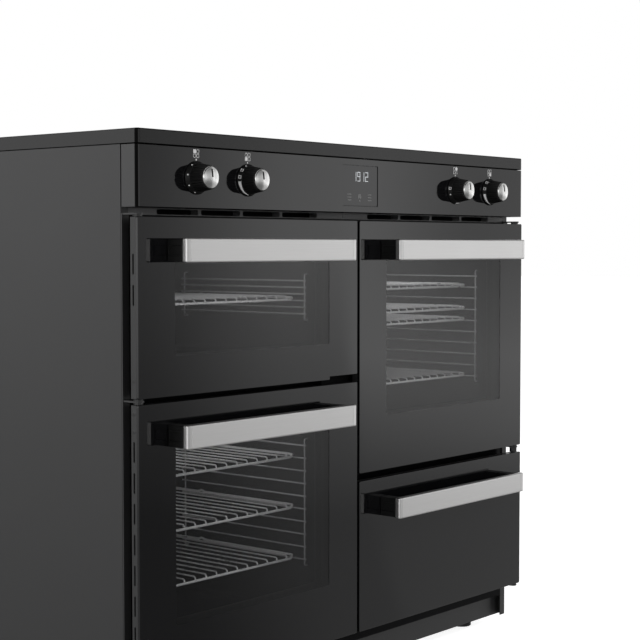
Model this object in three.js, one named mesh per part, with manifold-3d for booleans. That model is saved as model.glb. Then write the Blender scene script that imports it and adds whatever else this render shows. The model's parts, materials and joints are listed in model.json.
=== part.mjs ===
// Range cooker with two columns of side-hung doors, 1000 mm wide.
// Left column: small oven with grill above, main oven below.
// Right column: tall oven above, plain-fronted slow oven below.
// Millimetres, X to the right, Y to the back, Z up.
// The origin is on the floor, at the middle of the whole object's outline.

import * as THREE from 'three';
import { mergeVertices } from 'three/addons/utils/BufferGeometryUtils.js';
import Module from 'manifold-3d';

const wasm = await Module();
wasm.setup();

// ---------------------------------------------------------------- driving dimensions

const WIDTH = 1000;
const BODY_DEPTH = 600;
const HEIGHT = 900;
const FIT = 0.3; // gap between neighbours that touch
const SHEET = 1.5; // folded steel of the casing

const CARCASS_FRONT = 35; // casing and front frame stand this far behind the fascia
const SIDE_FLANGE = 15; // inward fold on the front and back edge of a side panel
const SIDE_BOTTOM = 20; // side panels and plinth end this far above the floor
const BACK_RECESS = 24; // back panel stands this far inside the side panels
const BACK_SLOT_ROWS = 2;
const BACK_SLOT_MARGIN = 80; // from the panel's sides to the first and last slot, at least
const BACK_SLOT_PITCH = 138;
const BACK_SLOT_LENGTH = 104;
const BACK_SLOT_HEIGHT = 8;
const BACK_SLOT_DROP = 50; // first row, below the hob
const BACK_SLOT_ROW_PITCH = 26;
const BASE_LEVEL = 60; // underside of the base tray
const BASE_FLANGE = 15;

const HOB_HEIGHT = 21.8;
const HOB_EDGE_RADIUS = 2;
const HOB_RIM = 8; // trim left showing round the glass
const HOB_LEDGE = 12; // ledge that carries the glass
const HOB_WALL = 3;
const HOB_GLASS_THICKNESS = 5;
const HOB_GLASS_CORNER = 6;

const FASCIA_HEIGHT = 88.4;
const FASCIA_WALL = 4;
const FASCIA_CORNER = 5.5;
const FASCIA_SEAM = 0.8; // dark line below the hob trim

const DISPLAY_WIDTH = 92.8;
const DISPLAY_HEIGHT = 66.4;
const DISPLAY_CENTRE_X = 4.6;
const DISPLAY_THICKNESS = 2;
const DISPLAY_LEDGE = 4;
const DISPLAY_CORNER = 1.5;

const VENT_STRIP_HEIGHT = 10.2;
const VENT_FLANGE = 16;
const VENT_SLOT_LENGTH = 94;
const VENT_SLOT_PITCH = 101;
const VENT_SLOT_HEIGHT = 6.6;
const VENT_SLOT_SLANT = 1.6;
const VENT_OUTER_MARGIN = 27; // from the casing's outer face to the first slot
const VENT_INNER_MARGIN = 60; // from the cooker's middle to the last slot, at least

const DOOR_TOP_GAP = 3; // from the air strip to the upper doors
const DOOR_BOTTOM = 86;
const DOOR_SIDE_MARGIN = 0.5; // doors stop short of the casing's outer face
const COLUMN_GAP = 6.2; // between the two columns of doors
const SMALL_OVEN_DOOR_HEIGHT = 259.3; // upper left; the tall doors take what is left
const PLAIN_DOOR_HEIGHT = 253.9; // lower right
const LEFT_DOOR_GAP = 8.2; // between the upper and lower door, left column
const RIGHT_DOOR_GAP = 13.6;
const DOOR_GLASS_FRONT = 0.5;
const DOOR_GLASS_THICKNESS = 4.6;
const DOOR_GLASS_CORNER = 2.5;
const DOOR_TRAY_BACK = 16.4; // back of the outer steel tray
const DOOR_TRAY_INSET = 0.6;
const DOOR_LINER_INSET = 26; // raised inner part of the door, in from the edge
const DOOR_LINER_BACK = 31.8;
const DOOR_SHEET = 1.2;
const DOOR_SLOT_LENGTH = 29.7;
const DOOR_SLOT_WIDTH = 3;
const DOOR_SLOT_CORNER = 1.3; // slots are nearly round-ended
const DOOR_SLOT_PITCH = 44.3;
const DOOR_SLOT_FIRST = 52.5; // below the door's top edge
const SHORT_DOOR_SLOTS = 2;
const TALL_DOOR_SLOTS = 7;

const WINDOW_WIDTH = 350;
const WINDOW_TOP_MARGIN = 38; // from the door's top edge to the window
const SHORT_WINDOW_BOTTOM_MARGIN = 58.6;
const TALL_WINDOW_BOTTOM_MARGIN = 93.4;
const WINDOW_CORNER = 4;
const INNER_GLASS_THICKNESS = 4;
const INNER_GLASS_LAP = 10;

const CATCH_NOTCH_WIDTH = 72; // lower free corner of the small oven's door
const CATCH_NOTCH_HEIGHT = 5.4;

const HANDLE_LENGTH = 386.5;
const HANDLE_HEIGHT = 35.5;
const HANDLE_REACH = 42; // front of the grip, ahead of the fascia
const GRIP_THICKNESS = 10;
const GRIP_CORNER = 4.5;
const GRIP_EDGE = 1.6;
const HANDLE_BELOW_DOOR_TOP = 48;
const HANDLE_BACK_THICKNESS = 4;
const HANDLE_FOOT_WIDTH = 20;
const HANDLE_FOOT_INSET = 7;
const HANDLE_FOOT_HEIGHT = 31;
const MOUNT_CORNER = 3;

const PIVOT_FROM_EDGE = 9; // hinge axis, in from the door's outer edge
const PIVOT_DEPTH = 10.9; // hinge axis, behind the fascia's front
const PIN_RADIUS = 4;
const PIN_ENGAGEMENT = 11;
const BUSH_LENGTH = 13;
const BUSH_WIDTH = 15;
const POST_WIDTH = 13.5;
const POST_THICKNESS = 2;
const LUG_THICKNESS = 2.4;
const LUG_RADIUS = 8.4;
const LUG_GAP = 2.6; // from the door's edge to the lug
const BOSS_RADIUS = 7;

const CAVITY_WIDTH = 400;
const CAVITY_SIDE_WALL = 1.5;
const CAVITY_DEPTH = 400;
const CAVITY_CORNER = 14;
const CAVITY_TOP_MARGIN = 22; // from the door's top edge to the cavity
const CAVITY_BOTTOM_MARGIN = 34;
const LINER_FLANGE = 12;
const SEAL_WIDTH = 8;
const FAN_RADIUS = 78;
const FAN_DEPTH = 14;
const FAN_HOLES = 8;
const FAN_HOLE_RADIUS = 9;
const FAN_HOLE_RING = 46; // radius of the ring that the holes sit on

const WIRE_RADIUS = 2.5;
const RACK_WIRE_RADIUS = 1.7;
const RACK_PITCH = 24;
const RACK_DEPTH = 330;
const RACK_FRONT = 84; // front bar, behind the fascia
const LADDER_FRONT = 68;
const LADDER_LENGTH = 280;
const LADDER_OFF_WALL = 6; // centre of the uprights
const LADDER_TAIL = 12; // upright past the last rung
const RUNG_END = 5; // rung past the upright
const WELD = 1; // crossing wires sink this far into each other
const SHORT_RUNG_PITCH = 11;
const TALL_RUNG_PITCH = 21.25;
const SHORT_RUNG_FLOOR_GAP = 65; // no rung lies nearer the oven's floor
const TALL_RUNG_FLOOR_GAP = 80;
const SHORT_RACK_DROP = 127; // from the door's top edge to the first rack
const LOWER_RACK_DROP = 122;
const UPPER_RACK_DROP = 115;

const LEFT_KNOBS = [118, 228.8]; // from the cooker's left side
const RIGHT_KNOBS = [222, 112.4]; // from its right side
const KNOB_SKIRT_RADIUS = 24.5;
const KNOB_SKIRT_FRONT_RADIUS = 21.6;
const KNOB_SKIRT_LENGTH = 7;
const KNOB_BODY_RADIUS = 20.2;
const KNOB_FRONT_RADIUS = 18;
const KNOB_BODY_LENGTH = 21;
const KNOB_CAP_RADIUS = 16.8;
const KNOB_CAP_RISE = 5;
const KNOB_RIBS = 24;
const KNOB_RIB_DEPTH = 0.8;
const KNOB_SPINDLE_RADIUS = 3;
const KNOB_SPINDLE_LENGTH = 24;
const SPINDLE_CLEARANCE = 1.5;

const PLINTH_SETBACK = 12; // behind the front frame
const PLINTH_FLANGE = 18;

const FOOT_PAD_RADIUS = 19;
const FOOT_PAD_HEIGHT = 8;
const FOOT_STEM_RADIUS = 5;
const FOOT_STEM_TOP = 74;
const FOOT_NUT_RADIUS = 9.5;
const FOOT_NUT_HEIGHT = 8;
const FOOT_FROM_SIDE = 60;
const FOOT_FROM_FRONT = 60; // from the front and back edges of the casing
const FOOT_FROM_BACK = 80;

const TERMINAL_WIDTH = 130;
const TERMINAL_HEIGHT = 90;
const TERMINAL_DEPTH = 20;
const TERMINAL_FROM_SIDE = 200; // the cooker's left side, seen from the front
const TERMINAL_LEVEL = 200;
const CABLE_HOLE_RADIUS = 8.5;
const CABLE_HOLE_DEPTH = 30;

// ---------------------------------------------------------------- places worked out

const halfWidth = WIDTH / 2;
const carcassBack = BODY_DEPTH;
const hobBottom = HEIGHT - HOB_HEIGHT;
const fasciaTop = hobBottom - FASCIA_SEAM;
const fasciaBottom = fasciaTop - FASCIA_HEIGHT;
const fasciaMiddle = (fasciaTop + fasciaBottom) / 2;
const ventTop = fasciaBottom - FIT;
const ventBottom = ventTop - VENT_STRIP_HEIGHT;
const frameTop = ventBottom - FIT;
const frameHalfWidth = halfWidth - SIDE_FLANGE - FIT;
const insideHalfWidth = halfWidth - SHEET - FIT;
const knobPlaces = [...LEFT_KNOBS.map((x) => x - halfWidth), ...RIGHT_KNOBS.map((x) => halfWidth - x)];
const backPanelFront = carcassBack - BACK_RECESS;
const frameBack = CARCASS_FRONT + SHEET;
const linerFront = frameBack + FIT;
const cavityBack = linerFront + CAVITY_DEPTH;
const doorWidth = halfWidth - DOOR_SIDE_MARGIN - COLUMN_GAP / 2;
const columnCentre = COLUMN_GAP / 2 + doorWidth / 2;
const glassBack = DOOR_GLASS_FRONT + DOOR_GLASS_THICKNESS;
const trayFront = glassBack + FIT;
const gripBack = -HANDLE_REACH + GRIP_THICKNESS;
const doorTop = ventBottom - DOOR_TOP_GAP;
const smallOvenBottom = doorTop - SMALL_OVEN_DOOR_HEIGHT;
const plainDoorTop = DOOR_BOTTOM + PLAIN_DOOR_HEIGHT;

// side is -1 for the left column and +1 for the right; doors hang on their outer edge.
// rackDrop is the first rack's, from the door's top edge. Rungs are counted down from that
// rack's own rung, and racks says which rungs carry one, given the number of the lowest.
const shortRungs = { above: 3, pitch: SHORT_RUNG_PITCH, floorGap: SHORT_RUNG_FLOOR_GAP };
const tallRungs = { above: 1, pitch: TALL_RUNG_PITCH, floorGap: TALL_RUNG_FLOOR_GAP };
const ovens = [
  {
    name: 'upper_left', side: -1, top: doorTop, bottom: smallOvenBottom,
    window: SHORT_WINDOW_BOTTOM_MARGIN, slots: SHORT_DOOR_SLOTS, notch: true, fan: false,
    rackDrop: SHORT_RACK_DROP, rungs: shortRungs, racks: () => [0],
  },
  {
    name: 'lower_left', side: -1, top: smallOvenBottom - LEFT_DOOR_GAP, bottom: DOOR_BOTTOM,
    window: TALL_WINDOW_BOTTOM_MARGIN, slots: TALL_DOOR_SLOTS, notch: false, fan: true,
    rackDrop: LOWER_RACK_DROP, rungs: tallRungs, racks: (lowest) => [0, Math.floor(lowest / 2)],
  },
  {
    name: 'upper_right', side: 1, top: doorTop, bottom: plainDoorTop + RIGHT_DOOR_GAP,
    window: TALL_WINDOW_BOTTOM_MARGIN, slots: TALL_DOOR_SLOTS, notch: false, fan: true,
    rackDrop: UPPER_RACK_DROP, rungs: tallRungs, racks: (lowest) => [0, 2, lowest],
  },
  {
    name: 'lower_right', side: 1, top: plainDoorTop, bottom: DOOR_BOTTOM,
    window: null, slots: SHORT_DOOR_SLOTS, notch: false, fan: false,
  },
];

// ---------------------------------------------------------------- solids

const CORNER_STEPS = 2; // a quarter round gets twice this many facets

function toSolid(geometry) {
  const bare = geometry.index ? geometry.toNonIndexed() : geometry;
  bare.deleteAttribute('normal');
  bare.deleteAttribute('uv');
  const merged = mergeVertices(bare, 1e-4);
  return new wasm.Manifold(new wasm.Mesh({
    numProp: 3,
    vertProperties: new Float32Array(merged.attributes.position.array),
    triVerts: new Uint32Array(merged.index.array),
  }));
}

function toGeometry(solid) {
  const mesh = solid.getMesh();
  const geometry = new THREE.BufferGeometry();
  geometry.setAttribute('position', new THREE.BufferAttribute(mesh.vertProperties, 3));
  geometry.setIndex(new THREE.BufferAttribute(mesh.triVerts, 1));
  geometry.computeVertexNormals();
  return geometry;
}

const joinAll = (solids) => solids.reduce((whole, next) => whole.add(next));
const cutAll = (solid, cuts) => (cuts.length ? solid.subtract(joinAll(cuts)) : solid);

function box(x, y, z) {
  const geometry = new THREE.BoxGeometry(x[1] - x[0], y[1] - y[0], z[1] - z[0]);
  geometry.translate((x[0] + x[1]) / 2, (y[0] + y[1]) / 2, (z[0] + z[1]) / 2);
  return toSolid(geometry);
}

// A rod between two points on a line along one axis.
function rod(axis, radius, centre, from, to, sides = 6) {
  const geometry = new THREE.CylinderGeometry(radius, radius, to - from, sides);
  const middle = (from + to) / 2;
  if (axis === 'x') geometry.rotateZ(-Math.PI / 2).translate(middle, centre[0], centre[1]);
  if (axis === 'y') geometry.translate(centre[0], middle, centre[1]);
  if (axis === 'z') geometry.rotateX(Math.PI / 2).translate(centre[0], centre[1], middle);
  return toSolid(geometry);
}

function roundedRect(x0, x1, y0, y1, radius) {
  const shape = new THREE.Shape();
  shape.moveTo(x0 + radius, y0);
  shape.lineTo(x1 - radius, y0);
  shape.absarc(x1 - radius, y0 + radius, radius, -Math.PI / 2, 0, false);
  shape.lineTo(x1, y1 - radius);
  shape.absarc(x1 - radius, y1 - radius, radius, 0, Math.PI / 2, false);
  shape.lineTo(x0 + radius, y1);
  shape.absarc(x0 + radius, y1 - radius, radius, Math.PI / 2, Math.PI, false);
  shape.lineTo(x0, y0 + radius);
  shape.absarc(x0 + radius, y0 + radius, radius, Math.PI, Math.PI * 1.5, false);
  return shape;
}

// A shape drawn in X and Z, standing between two depths.
function standing(shape, y0, y1, options = {}) {
  const geometry = new THREE.ExtrudeGeometry(shape, {
    depth: y1 - y0, bevelEnabled: false, curveSegments: CORNER_STEPS, ...options,
  });
  geometry.rotateX(Math.PI / 2).translate(0, y1, 0);
  return toSolid(geometry);
}

// A shape drawn in X and Y, lying between two levels.
function lying(shape, z0, z1, options = {}) {
  const geometry = new THREE.ExtrudeGeometry(shape, {
    depth: z1 - z0, bevelEnabled: false, curveSegments: CORNER_STEPS, ...options,
  });
  geometry.translate(0, 0, z0);
  return toSolid(geometry);
}

// A shape drawn in Y and Z, running between two places along X.
function sideways(shape, x0, x1) {
  const geometry = new THREE.ExtrudeGeometry(shape, {
    depth: x1 - x0, bevelEnabled: false, curveSegments: 1,
  });
  geometry.rotateZ(Math.PI / 2).rotateY(Math.PI / 2).translate(x0, 0, 0);
  return toSolid(geometry);
}

// A turned form about an axis along Y, from [radius, y] points listed from back to front.
function turned(points, x, z, segments) {
  const profile = points.map(([radius, y]) => new THREE.Vector2(radius, y)).reverse();
  const geometry = new THREE.LatheGeometry(profile, segments);
  geometry.translate(x, 0, z);
  return toSolid(geometry);
}

// ---------------------------------------------------------------- finishes

const finish = (color, roughness, metalness) => ({ color, roughness, metalness });
const FINISH = {
  casing: finish(0x1c1c1d, 0.42, 0.2),
  enamel: finish(0x0c0c0d, 0.3, 0.1),
  zinc: finish(0x8d9092, 0.5, 0.8),
  blackGlass: finish(0x08080a, 0.05, 0.0),
  clearGlass: finish(0x2a2d2e, 0.05, 0.0),
  display: finish(0x101215, 0.1, 0.0),
  tray: finish(0x2c2c2d, 0.45, 0.5),
  grip: finish(0xb9b9ba, 0.32, 0.9),
  plastic: finish(0x121213, 0.5, 0.0),
  knob: finish(0x141415, 0.4, 0.1),
  seal: finish(0x3a3a3c, 0.85, 0.0),
  chrome: finish(0xc9cbcd, 0.18, 1.0),
};

const cooker = new THREE.Group();

function addPart(name, solid, look) {
  const mesh = new THREE.Mesh(toGeometry(solid), new THREE.MeshStandardMaterial(look));
  mesh.name = name;
  cooker.add(mesh);
}

// ---------------------------------------------------------------- casing

// Folded sheet: its plan is a channel, open to the inside of the casing.
function sidePanel(side) {
  const outer = side * halfWidth;
  const inner = side * (halfWidth - SHEET);
  const fold = side * (halfWidth - SIDE_FLANGE);
  const plan = new THREE.Shape();
  plan.moveTo(outer, CARCASS_FRONT);
  plan.lineTo(fold, CARCASS_FRONT);
  plan.lineTo(fold, CARCASS_FRONT + SHEET);
  plan.lineTo(inner, CARCASS_FRONT + SHEET);
  plan.lineTo(inner, carcassBack - SHEET);
  plan.lineTo(fold, carcassBack - SHEET);
  plan.lineTo(fold, carcassBack);
  plan.lineTo(outer, carcassBack);
  return lying(plan, SIDE_BOTTOM, hobBottom - FIT);
}

function backPanel() {
  const y = [backPanelFront, backPanelFront + SHEET];
  const z = [BASE_LEVEL, hobBottom - FIT];
  const sheet = box([-insideHalfWidth, insideHalfWidth], y, z);
  const usable = (insideHalfWidth - BACK_SLOT_MARGIN) * 2;
  const columns = Math.floor((usable + BACK_SLOT_PITCH - BACK_SLOT_LENGTH) / BACK_SLOT_PITCH);
  const louvres = [];
  for (let row = 0; row < BACK_SLOT_ROWS; row += 1) {
    for (let column = 0; column < columns; column += 1) {
      const x = (column - (columns - 1) / 2) * BACK_SLOT_PITCH;
      const level = hobBottom - BACK_SLOT_DROP - row * BACK_SLOT_ROW_PITCH;
      louvres.push(box(
        [x - BACK_SLOT_LENGTH / 2, x + BACK_SLOT_LENGTH / 2], [y[0] - 1, y[1] + 1],
        [level - BACK_SLOT_HEIGHT / 2, level + BACK_SLOT_HEIGHT / 2],
      ));
    }
  }
  const coverMiddle = TERMINAL_FROM_SIDE - halfWidth;
  const coverX = [coverMiddle - TERMINAL_WIDTH / 2, coverMiddle + TERMINAL_WIDTH / 2];
  const coverZ = [TERMINAL_LEVEL - TERMINAL_HEIGHT / 2, TERMINAL_LEVEL + TERMINAL_HEIGHT / 2];
  const cover = standing(
    roundedRect(...coverX, ...coverZ, 5), y[1] - SHEET / 2, y[1] + TERMINAL_DEPTH,
  );
  const cableHole = rod(
    'z', CABLE_HOLE_RADIUS, [coverMiddle, y[1] + TERMINAL_DEPTH / 2],
    coverZ[0] - 1, coverZ[0] + CABLE_HOLE_DEPTH, 12,
  );
  return cutAll(sheet, louvres).add(cover).subtract(cableHole);
}

const footX = halfWidth - FOOT_FROM_SIDE;
const footRows = [['front', CARCASS_FRONT + FOOT_FROM_FRONT], ['back', carcassBack - FOOT_FROM_BACK]];
const footPlaces = footRows.flatMap(([row, y]) => [[`${row}_left`, -footX, y], [`${row}_right`, footX, y]]);

function baseTray() {
  const x = [-insideHalfWidth, insideHalfWidth];
  const y = [linerFront, backPanelFront - FIT];
  const outer = box(x, y, [BASE_LEVEL, BASE_LEVEL + BASE_FLANGE]);
  const hollow = box(
    [x[0] + SHEET, x[1] - SHEET], [y[0] + SHEET, y[1] - SHEET],
    [BASE_LEVEL + SHEET, BASE_LEVEL + BASE_FLANGE + 1],
  );
  const holes = footPlaces.map(([, holeX, holeY]) => rod(
    'z', FOOT_STEM_RADIUS + FIT * 2, [holeX, holeY], BASE_LEVEL - 1, BASE_LEVEL + SHEET + 1, 8,
  ));
  return cutAll(outer.subtract(hollow), holes);
}

function foot(x, y) {
  const pad = rod('z', FOOT_PAD_RADIUS, [x, y], 0, FOOT_PAD_HEIGHT, 12);
  const stem = rod('z', FOOT_STEM_RADIUS, [x, y], FOOT_PAD_HEIGHT / 2, FOOT_STEM_TOP, 8);
  const nutTop = BASE_LEVEL - FIT;
  const nut = rod('z', FOOT_NUT_RADIUS, [x, y], nutTop - FOOT_NUT_HEIGHT, nutTop, 6);
  return pad.add(stem).add(nut);
}

function plinthPanel() {
  const front = CARCASS_FRONT + PLINTH_SETBACK;
  const x = [-insideHalfWidth, insideHalfWidth];
  const top = BASE_LEVEL - FIT;
  const face = box(x, [front, front + SHEET], [SIDE_BOTTOM, top]);
  const flange = box(x, [front, front + PLINTH_FLANGE], [top - SHEET, top]);
  return face.add(flange);
}

// Cavity of an oven: its mouth in the front frame and the inside of its liner.
function cavityOf(oven) {
  const centre = oven.side * columnCentre;
  return {
    x: [centre - CAVITY_WIDTH / 2, centre + CAVITY_WIDTH / 2],
    z: [oven.bottom + CAVITY_BOTTOM_MARGIN, oven.top - CAVITY_TOP_MARGIN],
  };
}

function frontFrame() {
  const sheet = box([-frameHalfWidth, frameHalfWidth], [CARCASS_FRONT, frameBack], [BASE_LEVEL, frameTop]);
  const mouths = ovens.map((oven) => {
    const { x, z } = cavityOf(oven);
    return standing(roundedRect(...x, ...z, CAVITY_CORNER), CARCASS_FRONT - 1, frameBack + 1);
  });
  return cutAll(sheet, mouths);
}

function ventStrip(side) {
  const inner = side * FIT;
  const outer = side * frameHalfWidth;
  const x = [Math.min(inner, outer), Math.max(inner, outer)];
  const face = box(x, [CARCASS_FRONT, frameBack], [ventBottom, ventTop]);
  const flange = box(x, [CARCASS_FRONT, CARCASS_FRONT + VENT_FLANGE], [ventTop - SHEET, ventTop]);
  const middle = (ventTop - SHEET + ventBottom) / 2;
  const low = middle - VENT_SLOT_HEIGHT / 2;
  const high = middle + VENT_SLOT_HEIGHT / 2;
  const half = VENT_SLOT_LENGTH / 2;
  const usable = halfWidth - VENT_OUTER_MARGIN - VENT_INNER_MARGIN;
  const count = Math.floor((usable + VENT_SLOT_PITCH - VENT_SLOT_LENGTH) / VENT_SLOT_PITCH);
  const slots = [];
  for (let index = 0; index < count; index += 1) {
    const centre = side * (halfWidth - VENT_OUTER_MARGIN - half - index * VENT_SLOT_PITCH);
    const shape = new THREE.Shape([
      new THREE.Vector2(centre - half, low),
      new THREE.Vector2(centre + half, low),
      new THREE.Vector2(centre + half - VENT_SLOT_SLANT, high),
      new THREE.Vector2(centre - half + VENT_SLOT_SLANT, high),
    ]);
    slots.push(standing(shape, CARCASS_FRONT - 1, frameBack + 0.8));
  }
  return cutAll(face.add(flange), slots);
}

// ---------------------------------------------------------------- hob and fascia

// Folded steel surround with rolled edges; the glass lies on a ledge inside it.
function hobTrim() {
  const edge = HOB_EDGE_RADIUS;
  const plan = roundedRect(
    -halfWidth + edge, halfWidth - edge, edge, BODY_DEPTH - edge, FASCIA_CORNER - edge,
  );
  const slab = lying(plan, hobBottom + edge, HEIGHT - edge, {
    bevelEnabled: true, bevelThickness: edge, bevelSize: edge, bevelSegments: 2,
  });
  const seat = HEIGHT - HOB_GLASS_THICKNESS - FIT;
  const rim = HOB_RIM;
  const recess = lying(
    roundedRect(-halfWidth + rim, halfWidth - rim, rim, BODY_DEPTH - rim, HOB_GLASS_CORNER),
    seat, HEIGHT + 1,
  );
  const inset = rim + HOB_LEDGE;
  const well = box(
    [-halfWidth + inset, halfWidth - inset], [inset, BODY_DEPTH - inset], [hobBottom - 1, HEIGHT],
  );
  const under = box(
    [-halfWidth + HOB_WALL, halfWidth - HOB_WALL], [HOB_WALL, BODY_DEPTH - HOB_WALL],
    [hobBottom - 1, seat - HOB_WALL],
  );
  return slab.subtract(recess).subtract(well).subtract(under);
}

function hobGlass() {
  const edge = HOB_RIM + FIT;
  const plan = roundedRect(
    -halfWidth + edge, halfWidth - edge, edge, BODY_DEPTH - edge, HOB_GLASS_CORNER,
  );
  return lying(plan, HEIGHT - HOB_GLASS_THICKNESS, HEIGHT - FIT);
}

function fascia() {
  const back = CARCASS_FRONT - FIT;
  const plan = new THREE.Shape();
  plan.moveTo(-halfWidth, back);
  plan.lineTo(-halfWidth, FASCIA_CORNER);
  plan.absarc(-halfWidth + FASCIA_CORNER, FASCIA_CORNER, FASCIA_CORNER, Math.PI, Math.PI * 1.5, false);
  plan.lineTo(halfWidth - FASCIA_CORNER, 0);
  plan.absarc(halfWidth - FASCIA_CORNER, FASCIA_CORNER, FASCIA_CORNER, -Math.PI / 2, 0, false);
  plan.lineTo(halfWidth, back);
  const shell = lying(plan, fasciaBottom, fasciaTop);
  const hollow = box(
    [-halfWidth + FASCIA_WALL, halfWidth - FASCIA_WALL], [FASCIA_WALL, back + 1],
    [fasciaBottom + FASCIA_WALL / 2, fasciaTop - FASCIA_WALL / 2],
  );
  const spindleHoles = knobPlaces.map((x) => rod(
    'y', KNOB_SPINDLE_RADIUS + SPINDLE_CLEARANCE, [x, fasciaMiddle], -1, FASCIA_WALL + 1, 8,
  ));
  const edge = DISPLAY_WIDTH / 2;
  const rise = DISPLAY_HEIGHT / 2;
  const opening = (grow, corner) => roundedRect(
    DISPLAY_CENTRE_X - edge - grow, DISPLAY_CENTRE_X + edge + grow,
    fasciaMiddle - rise - grow, fasciaMiddle + rise + grow, corner,
  );
  const recess = standing(opening(FIT, DISPLAY_CORNER), -1, DISPLAY_THICKNESS + FIT);
  const sight = standing(opening(-DISPLAY_LEDGE, DISPLAY_CORNER), -1, FASCIA_WALL + 1);
  return cutAll(shell.subtract(hollow), [...spindleHoles, recess, sight]);
}

function displayWindow() {
  const shape = roundedRect(
    DISPLAY_CENTRE_X - DISPLAY_WIDTH / 2, DISPLAY_CENTRE_X + DISPLAY_WIDTH / 2,
    fasciaMiddle - DISPLAY_HEIGHT / 2, fasciaMiddle + DISPLAY_HEIGHT / 2, DISPLAY_CORNER,
  );
  return standing(shape, 0, DISPLAY_THICKNESS);
}

// Ribbed barrel that narrows to the front: a toothed outline, drawn in as it comes forward.
function knobBarrel(x, back, front) {
  const outline = [];
  for (let index = 0; index < KNOB_RIBS * 2; index += 1) {
    const radius = KNOB_BODY_RADIUS - (index % 2) * KNOB_RIB_DEPTH;
    const angle = (index / (KNOB_RIBS * 2)) * Math.PI * 2;
    outline.push(new THREE.Vector2(radius * Math.cos(angle), radius * Math.sin(angle)));
  }
  const geometry = new THREE.ExtrudeGeometry(new THREE.Shape(outline), {
    depth: back - front, bevelEnabled: false,
  });
  geometry.rotateX(Math.PI / 2).translate(0, back, 0);
  const position = geometry.attributes.position;
  for (let index = 0; index < position.count; index += 1) {
    const along = (back - position.getY(index)) / (back - front);
    const scale = 1 - along * (1 - KNOB_FRONT_RADIUS / KNOB_BODY_RADIUS);
    position.setX(index, position.getX(index) * scale + x);
    position.setZ(index, position.getZ(index) * scale + fasciaMiddle);
  }
  return toSolid(geometry);
}

function knob(x) {
  const skirtBack = -FIT;
  const skirtFront = skirtBack - KNOB_SKIRT_LENGTH;
  const bodyFront = skirtFront - KNOB_BODY_LENGTH;
  const skirt = turned([
    [0, skirtBack],
    [KNOB_SKIRT_RADIUS, skirtBack],
    [KNOB_SKIRT_RADIUS, skirtBack - KNOB_SKIRT_LENGTH * 0.2],
    [KNOB_SKIRT_FRONT_RADIUS, skirtFront],
    [0, skirtFront],
  ], x, fasciaMiddle, 20);
  const barrel = knobBarrel(x, skirtFront + 1, bodyFront);
  const capEdge = bodyFront - KNOB_CAP_RISE * 0.35;
  const capFront = bodyFront - KNOB_CAP_RISE;
  const cap = turned([
    [0, bodyFront + 1],
    [KNOB_CAP_RADIUS, bodyFront + 1],
    [KNOB_CAP_RADIUS, capEdge],
    [KNOB_CAP_RADIUS * 0.9, capEdge - KNOB_CAP_RISE * 0.35],
    [0, capFront],
  ], x, fasciaMiddle, 16);
  const pointer = box([x - 0.9, x + 0.9], [capFront - 1, capFront + 1.6],
    [fasciaMiddle + 5, fasciaMiddle + KNOB_CAP_RADIUS + 1]);
  const spindle = rod('y', KNOB_SPINDLE_RADIUS, [x, fasciaMiddle], skirtBack - 1, KNOB_SPINDLE_LENGTH, 6);
  return joinAll([skirt, barrel, cap]).subtract(pointer).add(spindle);
}

// ---------------------------------------------------------------- ovens

function liner(oven) {
  const { x, z } = cavityOf(oven);
  const wall = CAVITY_SIDE_WALL;
  const outer = standing(
    roundedRect(x[0] - wall, x[1] + wall, z[0] - wall, z[1] + wall, CAVITY_CORNER + wall),
    linerFront, cavityBack + wall,
  );
  const flange = standing(
    roundedRect(
      x[0] - LINER_FLANGE, x[1] + LINER_FLANGE, z[0] - LINER_FLANGE, z[1] + LINER_FLANGE, CAVITY_CORNER,
    ), linerFront, linerFront + wall,
  );
  const inside = standing(roundedRect(...x, ...z, CAVITY_CORNER), linerFront - 1, cavityBack);
  let solid = outer.add(flange).subtract(inside);
  if (oven.fan) {
    const fanX = (x[0] + x[1]) / 2;
    const fanZ = (z[0] + z[1]) / 2;
    const cover = rod('y', FAN_RADIUS, [fanX, fanZ], cavityBack - FAN_DEPTH, cavityBack + wall / 2, 16);
    const holes = [];
    for (let index = 0; index < FAN_HOLES; index += 1) {
      const turn = (index / FAN_HOLES) * Math.PI * 2;
      holes.push(rod(
        'y', FAN_HOLE_RADIUS,
        [fanX + FAN_HOLE_RING * Math.cos(turn), fanZ + FAN_HOLE_RING * Math.sin(turn)],
        cavityBack - FAN_DEPTH - 1, cavityBack - FAN_DEPTH / 2, 6,
      ));
    }
    solid = solid.add(cutAll(cover, holes));
  }
  return solid;
}

function seal(oven) {
  const { x, z } = cavityOf(oven);
  const ring = roundedRect(
    x[0] - SEAL_WIDTH, x[1] + SEAL_WIDTH, z[0] - SEAL_WIDTH, z[1] + SEAL_WIDTH, CAVITY_CORNER + SEAL_WIDTH,
  );
  ring.holes.push(new THREE.Path(roundedRect(...x, ...z, CAVITY_CORNER).getPoints(CORNER_STEPS)));
  return standing(ring, DOOR_LINER_BACK + FIT, CARCASS_FRONT - FIT);
}

// Rung 0 carries the first rack; the numbers rise downwards.
const rungLevel = (oven, rung) => oven.top - oven.rackDrop - WIRE_RADIUS * 2 - FIT
  - rung * oven.rungs.pitch;
const lowestRung = (oven) => Math.floor(
  (rungLevel(oven, 0) - cavityOf(oven).z[0] - oven.rungs.floorGap) / oven.rungs.pitch,
);

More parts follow.
